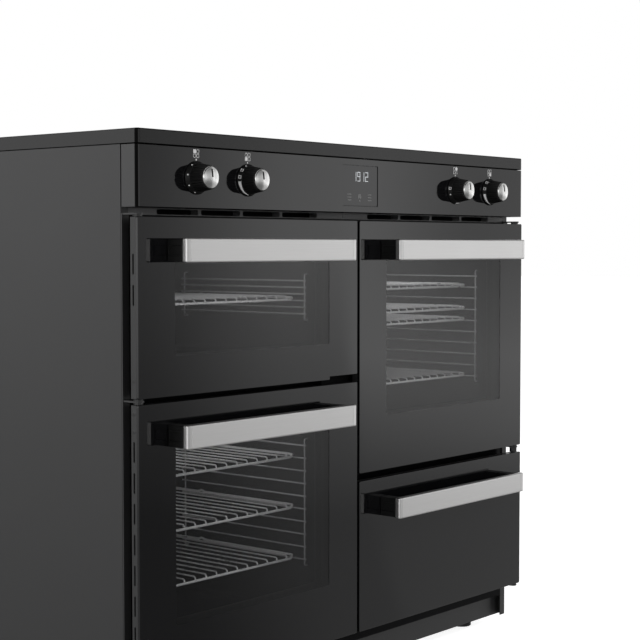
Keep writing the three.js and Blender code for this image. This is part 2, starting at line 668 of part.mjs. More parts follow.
// Wire ladder on one side wall: two uprights, stubs that meet the wall, and rungs welded inside.
function ladder(oven, hand) {
  const { x } = cavityOf(oven);
  const wallX = hand < 0 ? x[0] : x[1];
  const uprightX = wallX + -hand * LADDER_OFF_WALL;
  const rungX = uprightX + -hand * (WIRE_RADIUS * 2 - WELD);
  const ends = [LADDER_FRONT, LADDER_FRONT + LADDER_LENGTH];
  const first = -oven.rungs.above;
  const last = lowestRung(oven);
  const low = rungLevel(oven, last) - LADDER_TAIL;
  const high = rungLevel(oven, first) + LADDER_TAIL;
  const wires = ends.map((y) => rod('z', WIRE_RADIUS, [uprightX, y], low, high, 4));
  for (let rung = first; rung <= last; rung += 1) {
    wires.push(rod(
      'y', WIRE_RADIUS, [rungX, rungLevel(oven, rung)], ends[0] - RUNG_END, ends[1] + RUNG_END, 4,
    ));
  }
  const near = wallX - hand * FIT;
  ends.forEach((y) => {
    [low + LADDER_TAIL / 2, high - LADDER_TAIL / 2].forEach((level) => {
      wires.push(rod(
        'x', WIRE_RADIUS * 0.8, [y, level], Math.min(near, uprightX), Math.max(near, uprightX), 4,
      ));
    });
  });
  return joinAll(wires);
}

// Wire shelf: a heavier frame with thin wires welded on top, front to back.
function rack(oven, rung) {
  const { x } = cavityOf(oven);
  const level = rungLevel(oven, rung) + WIRE_RADIUS * 2 + FIT;
  const play = LADDER_OFF_WALL + WIRE_RADIUS * 2 + FIT;
  const sides = [x[0] + play, x[1] - play];
  const back = RACK_FRONT + RACK_DEPTH;
  const inFront = RACK_FRONT;
  const wires = [
    rod('x', WIRE_RADIUS, [inFront, level], sides[0] - WIRE_RADIUS * 0.5, sides[1] + WIRE_RADIUS * 0.5, 6),
    rod('x', WIRE_RADIUS, [back, level], sides[0] - WIRE_RADIUS * 0.5, sides[1] + WIRE_RADIUS * 0.5, 6),
    rod('y', WIRE_RADIUS, [sides[0], level], inFront, back, 6),
    rod('y', WIRE_RADIUS, [sides[1], level], inFront, back, 6),
  ];
  const top = level + WIRE_RADIUS + RACK_WIRE_RADIUS - WELD;
  const count = Math.floor((sides[1] - sides[0] - RACK_PITCH) / RACK_PITCH);
  for (let index = 0; index <= count; index += 1) {
    const wireX = (sides[0] + sides[1]) / 2 + (index - count / 2) * RACK_PITCH;
    wires.push(rod('y', RACK_WIRE_RADIUS, [wireX, top], inFront, back, 4));
  }
  return joinAll(wires);
}

// ---------------------------------------------------------------- doors

const doorEdges = (oven) => {
  const centre = oven.side * columnCentre;
  return { centre, x: [centre - doorWidth / 2, centre + doorWidth / 2], z: [oven.bottom, oven.top] };
};
const pivotX = (oven) => oven.side * (halfWidth - DOOR_SIDE_MARGIN - PIVOT_FROM_EDGE);

function catchNotch(oven, y0, y1) {
  const { x } = doorEdges(oven);
  const free = oven.side < 0 ? x[1] : x[0];
  const far = free + oven.side * CATCH_NOTCH_WIDTH;
  return box(
    [Math.min(free, far) - (oven.side > 0 ? 1 : 0), Math.max(free, far) + (oven.side < 0 ? 1 : 0)],
    [y0, y1], [oven.bottom - 1, oven.bottom + CATCH_NOTCH_HEIGHT],
  );
}

function doorGlass(oven) {
  const { x, z } = doorEdges(oven);
  const pane = standing(roundedRect(...x, ...z, DOOR_GLASS_CORNER), DOOR_GLASS_FRONT, glassBack);
  return oven.notch ? pane.subtract(catchNotch(oven, DOOR_GLASS_FRONT - 1, glassBack + 1)) : pane;
}

function windowShape(oven, grow) {
  const { centre } = doorEdges(oven);
  return roundedRect(
    centre - WINDOW_WIDTH / 2 - grow, centre + WINDOW_WIDTH / 2 + grow,
    oven.bottom + oven.window - grow, oven.top - WINDOW_TOP_MARGIN + grow, WINDOW_CORNER,
  );
}

// Pressed steel tray: wide shallow outer part, deeper narrower inner part, open to the glass.
function doorFrame(oven) {
  const { x, z } = doorEdges(oven);
  const edge = DOOR_TRAY_INSET;
  const inset = DOOR_LINER_INSET;
  const sheet = DOOR_SHEET;
  const block = (grow, y) => box(
    [x[0] + grow, x[1] - grow], y, [z[0] + grow, z[1] - grow],
  );
  const outer = block(edge, [trayFront, DOOR_TRAY_BACK]).add(block(inset, [trayFront, DOOR_LINER_BACK]));
  const hollow = block(edge + sheet, [trayFront - 1, DOOR_TRAY_BACK - sheet])
    .add(block(inset + sheet, [trayFront - 1, DOOR_LINER_BACK - sheet]));
  let solid = outer.subtract(hollow);
  const pivot = pivotX(oven);
  const wall = edge + sheet / 2; // bushes end inside the tray's own walls
  [[z[0] + wall, z[0] + BUSH_LENGTH], [z[1] - BUSH_LENGTH, z[1] - wall]].forEach((level) => {
    solid = solid.add(box(
      [pivot - BUSH_WIDTH / 2, pivot + BUSH_WIDTH / 2], [trayFront + FIT, DOOR_TRAY_BACK - sheet / 2], level,
    ));
    solid = solid.subtract(rod(
      'z', (PIN_RADIUS + FIT) / Math.cos(Math.PI / 8), [pivot, PIVOT_DEPTH], level[0] - 2, level[1] + 2, 8,
    ));
  });
  const cuts = [];
  if (oven.window !== null) {
    cuts.push(standing(windowShape(oven, 0), DOOR_TRAY_BACK, DOOR_LINER_BACK + 1));
  }
  const slotY = (trayFront + DOOR_TRAY_BACK) / 2;
  const hingeSide = oven.side < 0 ? x[0] : x[1];
  for (let index = 0; index < oven.slots; index += 1) {
    const high = z[1] - DOOR_SLOT_FIRST - index * DOOR_SLOT_PITCH;
    const slot = roundedRect(
      slotY - DOOR_SLOT_WIDTH / 2, slotY + DOOR_SLOT_WIDTH / 2,
      high - DOOR_SLOT_LENGTH, high, DOOR_SLOT_CORNER,
    );
    cuts.push(sideways(slot, hingeSide - DOOR_SLOT_WIDTH, hingeSide + DOOR_SLOT_WIDTH));
  }
  if (oven.notch) cuts.push(catchNotch(oven, trayFront - 1, DOOR_TRAY_BACK + 1));
  return cutAll(solid, cuts);
}

function innerGlass(oven) {
  const back = DOOR_LINER_BACK - DOOR_SHEET - FIT;
  return standing(windowShape(oven, INNER_GLASS_LAP), back - INNER_GLASS_THICKNESS, back);
}

function handleLevel(oven) {
  return oven.top - HANDLE_BELOW_DOOR_TOP;
}

function handleGrip(oven) {
  const { centre } = doorEdges(oven);
  const level = handleLevel(oven);
  const halfLength = HANDLE_LENGTH / 2 - GRIP_EDGE;
  const halfHeight = HANDLE_HEIGHT / 2 - GRIP_EDGE;
  const shape = roundedRect(
    centre - halfLength, centre + halfLength, level - halfHeight, level + halfHeight,
    GRIP_CORNER - GRIP_EDGE,
  );
  return standing(shape, -HANDLE_REACH + GRIP_EDGE, gripBack - GRIP_EDGE, {
    curveSegments: 1,
    bevelEnabled: true, bevelThickness: GRIP_EDGE, bevelSize: GRIP_EDGE, bevelSegments: 1,
  });
}

// Black moulding behind the grip, with a foot at each end that meets the door glass.
function handleMount(oven) {
  const { centre } = doorEdges(oven);
  const level = handleLevel(oven);
  const front = gripBack + FIT;
  const halfLength = HANDLE_LENGTH / 2 - GRIP_EDGE;
  const halfHeight = HANDLE_HEIGHT / 2 - GRIP_EDGE;
  const plate = standing(
    roundedRect(
      centre - halfLength, centre + halfLength, level - halfHeight, level + halfHeight, MOUNT_CORNER,
    ), front, front + HANDLE_BACK_THICKNESS, { curveSegments: 1 },
  );
  const feet = [-1, 1].map((hand) => {
    const outer = centre + hand * (HANDLE_LENGTH / 2 - HANDLE_FOOT_INSET);
    const inner = outer - hand * HANDLE_FOOT_WIDTH;
    return standing(
      roundedRect(
        Math.min(outer, inner), Math.max(outer, inner),
        level - HANDLE_FOOT_HEIGHT / 2, level + HANDLE_FOOT_HEIGHT / 2, MOUNT_CORNER,
      ), front + HANDLE_BACK_THICKNESS / 2, DOOR_GLASS_FRONT - FIT, { curveSegments: 1 },
    );
  });
  return plate.add(feet[0]).add(feet[1]);
}

// ---------------------------------------------------------------- hinge posts

// Steel strip down the outer edge with a lug and pin at each end of each door.
function hingePost(side) {
  const column = ovens.filter((oven) => oven.side === side);
  const outer = side * (halfWidth - FIT);
  const inner = side * (halfWidth - FIT - POST_WIDTH);
  const postBack = CARCASS_FRONT - FIT;
  const x = [Math.min(outer, inner), Math.max(outer, inner)];
  const pivot = pivotX(column[0]);
  const pinY = PIVOT_DEPTH;
  const lugPlan = new THREE.Shape();
  lugPlan.moveTo(pivot - LUG_RADIUS, postBack - POST_THICKNESS / 2);
  lugPlan.lineTo(pivot - LUG_RADIUS, pinY);
  lugPlan.absarc(pivot, pinY, LUG_RADIUS, Math.PI, Math.PI * 2, false);
  lugPlan.lineTo(pivot + LUG_RADIUS, postBack - POST_THICKNESS / 2);
  const lug = (bottom) => lying(lugPlan, bottom, bottom + LUG_THICKNESS);
  const boss = (z0, z1) => rod('z', BOSS_RADIUS, [pivot, pinY], z0, z1, 8);
  const pin = (z0, z1) => rod('z', PIN_RADIUS, [pivot, pinY], z0, z1, 8);
  const [upper, lower] = column;
  const topLug = upper.top + LUG_GAP;
  const middleLug = upper.bottom - LUG_GAP - LUG_THICKNESS;
  const lowLug = lower.bottom - LUG_GAP - LUG_THICKNESS;
  const strip = box(x, [postBack - POST_THICKNESS, postBack], [lowLug, topLug + LUG_THICKNESS]);
  return joinAll([
    strip,
    lug(topLug), boss(upper.top + FIT, topLug + 1), pin(upper.top - PIN_ENGAGEMENT, topLug + 1),
    lug(middleLug), boss(lower.top + FIT, upper.bottom - FIT),
    pin(lower.top - PIN_ENGAGEMENT, upper.bottom + PIN_ENGAGEMENT),
    lug(lowLug), boss(lowLug + 1, lower.bottom - FIT), pin(lowLug + 1, lower.bottom + PIN_ENGAGEMENT),
  ]);
}

// ---------------------------------------------------------------- assembly

addPart('side_panel_left', sidePanel(-1), FINISH.casing);
addPart('side_panel_right', sidePanel(1), FINISH.casing);
addPart('back_panel', backPanel(), FINISH.zinc);
addPart('base_tray', baseTray(), FINISH.zinc);
addPart('plinth_panel', plinthPanel(), FINISH.casing);
footPlaces.forEach(([place, x, y]) => addPart(`foot_${place}`, foot(x, y), FINISH.plastic));
addPart('front_frame', frontFrame(), FINISH.enamel);
addPart('vent_strip_left', ventStrip(-1), FINISH.casing);
addPart('vent_strip_right', ventStrip(1), FINISH.casing);
addPart('hinge_post_left', hingePost(-1), FINISH.casing);
addPart('hinge_post_right', hingePost(1), FINISH.casing);
addPart('hob_trim', hobTrim(), FINISH.casing);
addPart('hob_glass', hobGlass(), FINISH.blackGlass);
addPart('fascia', fascia(), FINISH.blackGlass);
addPart('display_window', displayWindow(), FINISH.display);
knobPlaces.forEach((x, index) => addPart(`knob_${index + 1}`, knob(x), FINISH.knob));

ovens.forEach((oven) => {
  addPart(`${oven.name}_liner`, liner(oven), FINISH.enamel);
  addPart(`${oven.name}_door_frame`, doorFrame(oven), FINISH.tray);
  addPart(`${oven.name}_door_glass`, doorGlass(oven), FINISH.blackGlass);
  addPart(`${oven.name}_handle_mount`, handleMount(oven), FINISH.plastic);
  addPart(`${oven.name}_handle_grip`, handleGrip(oven), FINISH.grip);
  if (oven.window !== null) {
    addPart(`${oven.name}_seal`, seal(oven), FINISH.seal);
    addPart(`${oven.name}_inner_glass`, innerGlass(oven), FINISH.clearGlass);
    addPart(`${oven.name}_ladder_left`, ladder(oven, -1), FINISH.chrome);
    addPart(`${oven.name}_ladder_right`, ladder(oven, 1), FINISH.chrome);
    oven.racks(lowestRung(oven)).forEach((rung, index) => {
      addPart(`${oven.name}_rack_${index + 1}`, rack(oven, rung), FINISH.chrome);
    });
  }
});

// The outline runs from the grips to the back edge of the casing; its middle is the origin.
cooker.position.y = -(BODY_DEPTH - HANDLE_REACH) / 2;

export default cooker;
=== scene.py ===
# %% [markdown]
# # A black range cooker, dressed in Blender
#
# The cooker arrives as a fixed frame: sixty solid parts in metres, each already in its place. This
# lesson gives every part its finish and swaps the plainest ones (wires, knobs, bar handles, the
# control panel, the door glass) for smooth surfaces worked out with numpy. Nothing is moved: a new
# piece is built where the part that it stands for is, and rides on the same body, so doors, knobs
# and racks still move.

# %% Load the frame
import json
import math

import bmesh
import bpy
import numpy as np
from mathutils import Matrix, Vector


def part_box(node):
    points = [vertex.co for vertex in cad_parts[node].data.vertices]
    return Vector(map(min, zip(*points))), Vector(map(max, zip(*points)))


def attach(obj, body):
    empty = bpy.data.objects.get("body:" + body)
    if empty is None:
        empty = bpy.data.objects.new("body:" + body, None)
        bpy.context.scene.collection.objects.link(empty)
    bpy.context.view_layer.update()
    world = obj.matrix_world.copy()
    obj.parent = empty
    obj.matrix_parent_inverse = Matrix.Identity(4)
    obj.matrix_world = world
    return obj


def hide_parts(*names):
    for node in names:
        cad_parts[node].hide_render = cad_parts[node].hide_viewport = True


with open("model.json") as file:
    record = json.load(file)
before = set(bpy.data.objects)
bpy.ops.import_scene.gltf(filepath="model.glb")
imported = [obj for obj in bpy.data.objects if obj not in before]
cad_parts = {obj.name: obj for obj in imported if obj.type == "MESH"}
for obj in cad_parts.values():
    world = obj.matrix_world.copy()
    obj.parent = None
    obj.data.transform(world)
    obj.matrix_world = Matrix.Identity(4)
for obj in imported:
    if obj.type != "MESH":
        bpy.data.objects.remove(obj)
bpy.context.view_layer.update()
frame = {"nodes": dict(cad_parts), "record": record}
parts = frame["nodes"]

# %% [markdown]
# ## Sizes read from the frame
#
# Nearly every place in this file starts from a part's own box, so a piece can't drift from what
# carries it. `span` gives a part's lowest and highest corner as arrays, `each` runs through the
# same part of several doors, and `body_of_part` says which body a part belongs to. Lengths that
# the frame doesn't hold, and the heights of prints, catch and screws, are named where they are used.

# %% Boxes and bodies
MM = 0.001
body_of_part = {
    part: body for body, members in frame["record"]["behaviour"]["bodies"].items() for part in members
}
GLAZED = ("upper_left", "lower_left", "upper_right")
DOORS = GLAZED + ("lower_right",)
KNOBS = tuple(f"knob_{number}" for number in range(1, 5))


def span(part):
    """Lowest and highest corner of a part at rest, as two arrays."""
    low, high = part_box(part)
    return np.array(low), np.array(high)


def middle(part):
    """Centre of a part's box."""
    low, high = span(part)
    return (low + high) / 2


def each(doors, kind):
    """For each door: its name, the name of its part of that kind, and that part's span."""
    for door in doors:
        part = f"{door}_{kind}"
        yield door, part, *span(part)


FRONT = span("fascia")[0][1]
print("front of the control panel, y =", round(FRONT, 4))

# %% [markdown]
# ## Camera
#
# The view stands left of the cooker, a little below its top, and looks 50 degrees round to the
# right, so both the side and the front show. The lens and the place come from the straight edges
# of the photographed front: its level lines run to one vanishing point and the side's to another.

# %% Camera
CAMERA_PLACE = (-1.9855, -1.8558, 0.7331)
CAMERA_HEADING = 50.09  # degrees from +Y towards +X
CAMERA_TILT = 2.758  # degrees below the horizon
CAMERA_LENS = 85.93  # millimetres, on a 36 mm wide sensor

camera = bpy.data.objects.new("camera", bpy.data.cameras.new("camera"))
camera.data.lens = CAMERA_LENS
camera.data.sensor_width = 36.0
camera.location = CAMERA_PLACE
camera.rotation_euler = (math.radians(90 - CAMERA_TILT), 0, math.radians(-CAMERA_HEADING))
bpy.context.scene.collection.objects.link(camera)
bpy.context.scene.camera = camera
bpy.context.scene.view_settings.view_transform = "Standard"
print("lens:", CAMERA_LENS, "mm")

# %% [markdown]
# ## Node helpers
#
# A material is a small graph. Writing each node's place in the editor adds nothing here, so `add`
# makes a node, sets its plain sockets and links the rest in one line. The others are short names
# for the nodes that come up most.

# %% Node helpers
FLOAT = "NodeSocketFloat"
VECTOR = "NodeSocketVector"


def add(tree, kind, settings=None, **sockets):
    """Make one node; a socket given as an output is linked, any other value is set on it. In a
    socket's name _ stands for a space, and _2 for the third socket."""
    node = tree.nodes.new(kind)
    for name, value in (settings or {}).items():
        setattr(node, name, value)
    for name, value in sockets.items():
        key = int(name[1:]) if name[0] == "_" else name.replace("_", " ")
        if isinstance(value, bpy.types.NodeSocket):
            tree.links.new(value, node.inputs[key])
        else:
            node.inputs[key].default_value = value
    return node


def set_sockets(node, **values):
    """Set plain values on a node's sockets."""
    for name, value in values.items():
        node.inputs[name.replace("_", " ")].default_value = value


def math_node(tree, operation, *values, clamp=False):
    """One Math node; values are numbers or outputs."""
    settings = {"operation": operation, "use_clamp": clamp}
    return add(tree, "ShaderNodeMath", settings, **{f"_{i}": v for i, v in enumerate(values)}).outputs[0]


def vector_node(tree, operation, *values, **sockets):
    """One Vector Math node; its output is a number for a length, and otherwise a vector."""
    numbered = {f"_{i}": v for i, v in enumerate(values)}
    node = add(tree, "ShaderNodeVectorMath", {"operation": operation}, **numbered, **sockets)
    return node.outputs["Value" if operation == "LENGTH" else "Vector"]


def mix(tree, share, first, second):
    """The first value where share is 0, the second where it is 1."""
    return add(tree, "ShaderNodeMix", {"data_type": "FLOAT"}, _0=share, _2=first, _3=second).outputs[0]


def ramp(tree, value, start, end, low=0.0, high=1.0, smooth=False):
    """A value mapped from start..end to low..high and held at both ends."""
    settings = {"interpolation_type": "SMOOTHSTEP" if smooth else "LINEAR"}
    limits = {"From_Min": start, "From_Max": end, "To_Min": low, "To_Max": high}
    return add(tree, "ShaderNodeMapRange", settings, Value=value, **limits).outputs["Result"]


def place_on_piece(tree, output="Object"):
    """Where the shaded point is, in the frame's metres or, with UV, on the piece's own map."""
    return add(tree, "ShaderNodeTexCoord").outputs[output]


def split(tree, vector):
    """The axes of a vector, by name."""
    return add(tree, "ShaderNodeSeparateXYZ", Vector=vector).outputs


def join(tree, **axes):
    """A vector from its axes; one that isn't given is 0."""
    return add(tree, "ShaderNodeCombineXYZ", **axes).outputs[0]


def noise(tree, vector, **sockets):
    """A cloudy value around one half."""
    return add(tree, "ShaderNodeTexNoise", Vector=vector, **sockets).outputs[0]


def about_zero(tree, value):
    """A value around one half, shifted to lie around zero."""
    return math_node(tree, "SUBTRACT", value, 0.5)


def new_group(name, inputs, outputs):
    """An empty node group with float inputs {name: default} and outputs {name: kind of socket}. It
    gives the group, its inputs by name, and a function that links values to its outputs."""
    group = bpy.data.node_groups.new(name, "ShaderNodeTree")
    for socket, default in inputs.items():
        made = group.interface.new_socket(socket, in_out="INPUT", socket_type=FLOAT)
        made.default_value = default
    for socket, kind in outputs.items():
        group.interface.new_socket(socket, in_out="OUTPUT", socket_type=kind)
    result = group.nodes.new("NodeGroupOutput")

    def put_out(**values):
        for socket, value in values.items():
            group.links.new(value, result.inputs[socket])

    return group, group.nodes.new("NodeGroupInput").outputs, put_out


# %% [markdown]
# ## Studio light
#
# Black glass has almost no colour of its own: what is seen is the room in it. The world is
# written as a function of direction, because each flat face mirrors only a narrow part of the
# room: a pale wall that gets brighter to the right, a bright one to the left and one straight in
# front, darker below eye level, and under a ceiling that is dark in front, which dims the upper
# rims. Seen straight on, the world is plain white. Soft lamps light the matt surfaces, and each
# oven has lights of its own.

# %% World
# Each span says between which two values of a direction's axis the strength changes, and from
# what to what. X points right, Y to the back and Z up.
LEFT_WALL = (-0.36, -0.75, 1.0, 3.1)
FRONT_WALL = (-0.90, -0.98, 0.0, 0.4)
RIGHT_WALL = (0.68, 0.76, 0.50, 1.32)
FAR_RIGHT_WALL = (0.87, 0.97, 0.0, 0.3)
UPPER_LOSS_RIGHTWARDS = (0.78, 0.83, 0.0, 1.0)
UPPER_LOSS_UPWARDS = (-0.12, 0.0, 0.0, -0.45)
CEILING_UPWARDS = (0.12, 0.55, 0.0, 1.0)
CEILING_BACKWARDS = (0.0, 0.3, 0.12, 1.0)
BELOW_LEFT_COLUMN = (-0.175, 0.0, 0.30, 1.0)
BELOW_RIGHT_COLUMN = (-0.155, -0.07, 0.36, 1.05)
BETWEEN_COLUMNS = (0.774, 0.781, 0.0, 1.0)

world = bpy.data.worlds.new("studio")
bpy.context.scene.world = world
world.use_nodes = True
sky = world.node_tree
sky.nodes.clear()
direction = split(sky, add(sky, "ShaderNodeTexCoord").outputs["Generated"])


def strength(axis, span_of_change, smooth=True):
    """Strength over one axis of the direction."""
    return ramp(sky, direction[axis], *span_of_change, smooth=smooth)


loss = math_node(
    sky, "MULTIPLY_ADD", strength("X", UPPER_LOSS_RIGHTWARDS), strength("Z", UPPER_LOSS_UPWARDS, False), 1.0,
)
wall = math_node(sky, "MULTIPLY_ADD", strength("X", RIGHT_WALL), loss, strength("Y", FRONT_WALL))
wall = math_node(sky, "ADD", wall, strength("X", FAR_RIGHT_WALL))
ceiling = mix(sky, strength("Z", CEILING_UPWARDS), 1.0, strength("Y", CEILING_BACKWARDS))
below = mix(
    sky, strength("X", BETWEEN_COLUMNS),
    strength("Z", BELOW_LEFT_COLUMN, False), strength("Z", BELOW_RIGHT_COLUMN, False),
)
reflected = wall
for factor in (strength("X", LEFT_WALL), ceiling, below):
    reflected = math_node(sky, "MULTIPLY", reflected, factor)
seen = mix(sky, add(sky, "ShaderNodeLightPath").outputs["Is Camera Ray"], reflected, 1.0)
background = add(sky, "ShaderNodeBackground", Color=(1, 1, 1, 1), Strength=seen)
sky.links.new(background.outputs[0], add(sky, "ShaderNodeOutputWorld").inputs["Surface"])

# %% Lamps
KEY_POWER = 26.0
SIDE_POWER = 13.0
OVEN_CEILING_POWER = 1.4  # in an oven that is TALL_OVEN high
OVEN_WINDOW_POWER = 0.25
TALL_OVEN = 0.40
OVEN_LAMP_WIDTH = 0.34
OVEN_LAMP_DEPTH = 0.30
WINDOW_LAMP_SHARE = 0.7  # of the oven's height
UNDER_CEILING = 12 * MM
BEHIND_WINDOW = 4 * MM


def soft_lamp(name, place, target, width, height, power):
    """An area lamp at place, turned towards target. It lights matt surfaces and isn't mirrored."""
    data = bpy.data.lights.new(name, "AREA")
    data.shape = "RECTANGLE"
    data.size, data.size_y, data.energy = width, height, power
    lamp = bpy.data.objects.new(name, data)
    lamp.location = place
    lamp.rotation_euler = (Vector(target) - Vector(place)).to_track_quat("-Z", "Y").to_euler()
    lamp.visible_glossy = False
    bpy.context.scene.collection.objects.link(lamp)


soft_lamp("key_lamp", (0.4, -2.6, 2.3), (0, 0, 0.5), 1.6, 1.2, KEY_POWER)
soft_lamp("side_lamp", (-1.15, 0.3, 1.75), (-0.5, 0.1, 0.75), 1.0, 0.6, SIDE_POWER)
for door, _, low, high in each(GLAZED, "liner"):
    x, y, z = (low + high) / 2
    tall = high[2] - low[2]
    soft_lamp(
        f"{door}_ceiling_light", (x, y, high[2] - UNDER_CEILING), (x, y + MM, 0),
        OVEN_LAMP_WIDTH, OVEN_LAMP_DEPTH, OVEN_CEILING_POWER * tall / TALL_OVEN,
    )
    soft_lamp(
        f"{door}_window_light", (x, low[1] + BEHIND_WINDOW, z), (x, high[1], z),
        OVEN_LAMP_WIDTH, tall * WINDOW_LAMP_SHARE, OVEN_WINDOW_POWER,
    )
print("lamps:", len(bpy.data.lights))

# %% [markdown]
# ## Floor
#
# A plain pale floor that keeps the cooker's shadow. It is a stage, not a part of the cooker. Where
# the camera sees it, it also glows a little, so it runs into the white background without a
# horizon. Mirrored in glass it is left out, so that no horizon shows across the doors: there the
# world goes on below eye level.

# %% Floor
FLOOR_REACH = 30.0
FLOOR_GLOW_SEEN = 0.86
floor_mesh = bpy.data.meshes.new("floor")
floor_corners = [(x * FLOOR_REACH, y * FLOOR_REACH, 0) for x, y in ((-1, -1), (1, -1), (1, 1), (-1, 1))]
floor_mesh.from_pydata(floor_corners, [], [(0, 1, 2, 3)])
floor = bpy.data.objects.new("floor", floor_mesh)
bpy.context.scene.collection.objects.link(floor)
floor_material = bpy.data.materials.new("floor_paint")
floor_material.use_nodes = True
floor_tree = floor_material.node_tree
floor_bsdf = floor_tree.nodes["Principled BSDF"]
set_sockets(
    floor_bsdf, Base_Color=(0.82, 0.82, 0.82, 1), Roughness=0.6, Specular_IOR_Level=0.0,
    Emission_Color=(1, 1, 1, 1),
)
floor_sight = add(floor_tree, "ShaderNodeLightPath")
glow = math_node(floor_tree, "MULTIPLY", floor_sight.outputs["Is Camera Ray"], FLOOR_GLOW_SEEN)
floor_tree.links.new(glow, floor_bsdf.inputs["Emission Strength"])
floor_mix = add(
    floor_tree, "ShaderNodeMixShader", _0=floor_sight.outputs["Is Glossy Ray"], _1=floor_bsdf.outputs[0],
    _2=add(floor_tree, "ShaderNodeBsdfTransparent").outputs[0],
)
floor_tree.links.new(floor_mix.outputs[0], floor_tree.nodes["Material Output"].inputs["Surface"])
floor_mesh.materials.append(floor_material)
print("floor:", 2 * FLOOR_REACH, "m across")

# %% [markdown]
# ## Shared surface effects
#
# `fine_grain` is the faint orange peel of sprayed paint, of enamel and of moulded plastic.
# `brushed` is the run of hairlines that a belt leaves on metal. `soft_marks` is the cloudiness of
# a wiped surface, which varies gloss over hand-sized patches. `spun` is what a lathe leaves on a
# round cap: fine circles that spread a reflection outwards, so the cap shows bright and dark fans.
# `window_print` marks the clear part of a printed glass door and `punched` the holes of a sheet.
# Each group gives masks, heights and directions only.

# %% Group: fine grain
grain_group, grain_in, grain_out = new_group(
    "fine_grain", {"Scale": 900.0, "Detail": 2.0}, {"Shade": FLOAT, "Height": FLOAT},
)
grain_value = noise(
    grain_group, place_on_piece(grain_group),
    Scale=grain_in["Scale"], Detail=grain_in["Detail"], Roughness=0.55,
)
grain_out(Height=grain_value, Shade=about_zero(grain_group, grain_value))

# %% Group: brushed metal
# The noise is stretched along X: few changes along it, many across.
brush_group, brush_in, brush_out = new_group(
    "brushed", {"Across": 1600.0, "Along": 14.0}, {"Shade": FLOAT, "Height": FLOAT},
)
brush_place = split(brush_group, place_on_piece(brush_group))
brush_vector = join(brush_group, **{
    axis: math_node(brush_group, "MULTIPLY", brush_place[axis], brush_in[stretch])
    for axis, stretch in (("X", "Along"), ("Y", "Across"), ("Z", "Across"))
})
brush_value = noise(brush_group, brush_vector, Scale=1.0, Detail=3.0, Roughness=0.6)
brush_out(Height=brush_value, Shade=about_zero(brush_group, brush_value))

# %% Group: soft marks
marks_group, marks_in, marks_out = new_group("soft_marks", {"Scale": 7.0, "Contrast": 1.0}, {"Mask": FLOAT})
marks_value = noise(
    marks_group, place_on_piece(marks_group),
    Scale=marks_in["Scale"], Detail=4.0, Roughness=0.6, Distortion=0.6,
)
marks_out(Mask=math_node(marks_group, "MULTIPLY", about_zero(marks_group, marks_value), marks_in["Contrast"]))

# %% Group: spun metal
# The map holds the place on the cap, measured from its centre. The normal leans outwards or
# inwards by Lean * noise(distance), so each fine circle mirrors a little higher or lower.
spun_group, spun_in, spun_out = new_group(
    "spun", {"Lean": 0.22, "Scale": 9000.0}, {"Shade": FLOAT, "Normal": VECTOR},
)
spun_place = split(spun_group, place_on_piece(spun_group, "UV"))
spun_flat = join(spun_group, X=spun_place["X"], Z=spun_place["Y"])
spun_radius = vector_node(spun_group, "LENGTH", spun_flat)
spun_circles = math_node(spun_group, "MULTIPLY", spun_radius, spun_in["Scale"])
spun_value = about_zero(spun_group, add(
    spun_group, "ShaderNodeTexNoise", {"noise_dimensions": "1D"}, W=spun_circles, Scale=1.0, Detail=0.0,
).outputs[0])
spun_outwards = add(
    spun_group, "ShaderNodeVectorTransform",
    {"vector_type": "VECTOR", "convert_from": "OBJECT", "convert_to": "WORLD"},
    Vector=vector_node(spun_group, "NORMALIZE", spun_flat),
).outputs[0]
spun_lean = math_node(spun_group, "MULTIPLY", spun_value, spun_in["Lean"])
spun_normal = vector_node(
    spun_group, "ADD", add(spun_group, "ShaderNodeNewGeometry").outputs["Normal"],
    vector_node(spun_group, "SCALE", spun_outwards, Scale=spun_lean),
)
spun_out(Normal=vector_node(spun_group, "NORMALIZE", spun_normal), Shade=spun_value)

# %% Group: window print
# Distance to a rounded rectangle: with q = |p - centre| - (half size - corner) on both axes, it is
# length(max(q, 0)) + min(max(qx, qz), 0) - corner. Below zero lies the window.
PRINT_SOFTNESS = 0.3 * MM
window_group, window_in, window_out = new_group(
    "window_print",
    {
        "Centre X": 0.0, "Centre Z": 0.5, "Half Width": 0.175, "Half Height": 0.1,
        "Corner": 4 * MM, "Edge": 2.3 * MM,
    },
    {"Window": FLOAT, "Clear": FLOAT},
)
window_place = split(window_group, place_on_piece(window_group))


def window_math(operation, *values):
    """One Math node of the window group."""
    return math_node(window_group, operation, *values)


def beyond(axis, centre, half):
    """|place - centre| - (half size - corner) along one axis."""
    away = window_math("ABSOLUTE", window_math("SUBTRACT", window_place[axis], window_in[centre]))
    return window_math("SUBTRACT", away, window_math("SUBTRACT", window_in[half], window_in["Corner"]))


beyond_x = beyond("X", "Centre X", "Half Width")
beyond_z = beyond("Z", "Centre Z", "Half Height")
outside = vector_node(window_group, "LENGTH", join(
    window_group, X=window_math("MAXIMUM", beyond_x, 0.0), Y=window_math("MAXIMUM", beyond_z, 0.0),
))
inside = window_math("MINIMUM", window_math("MAXIMUM", beyond_x, beyond_z), 0.0)
from_outline = window_math("SUBTRACT", window_math("ADD", outside, inside), window_in["Corner"])
window_mask = ramp(window_group, from_outline, -PRINT_SOFTNESS, PRINT_SOFTNESS, 1.0, 0.0)
# Down the window's right edge runs a narrow dark strip, which the coat leaves out.
right_edge = window_math("ADD", window_in["Centre X"], window_in["Half Width"])
from_right = window_math("SUBTRACT", right_edge, window_place["X"])
coated = window_math("GREATER_THAN", from_right, window_in["Edge"])
window_out(Window=window_mask, Clear=window_math("MULTIPLY", window_mask, coated))

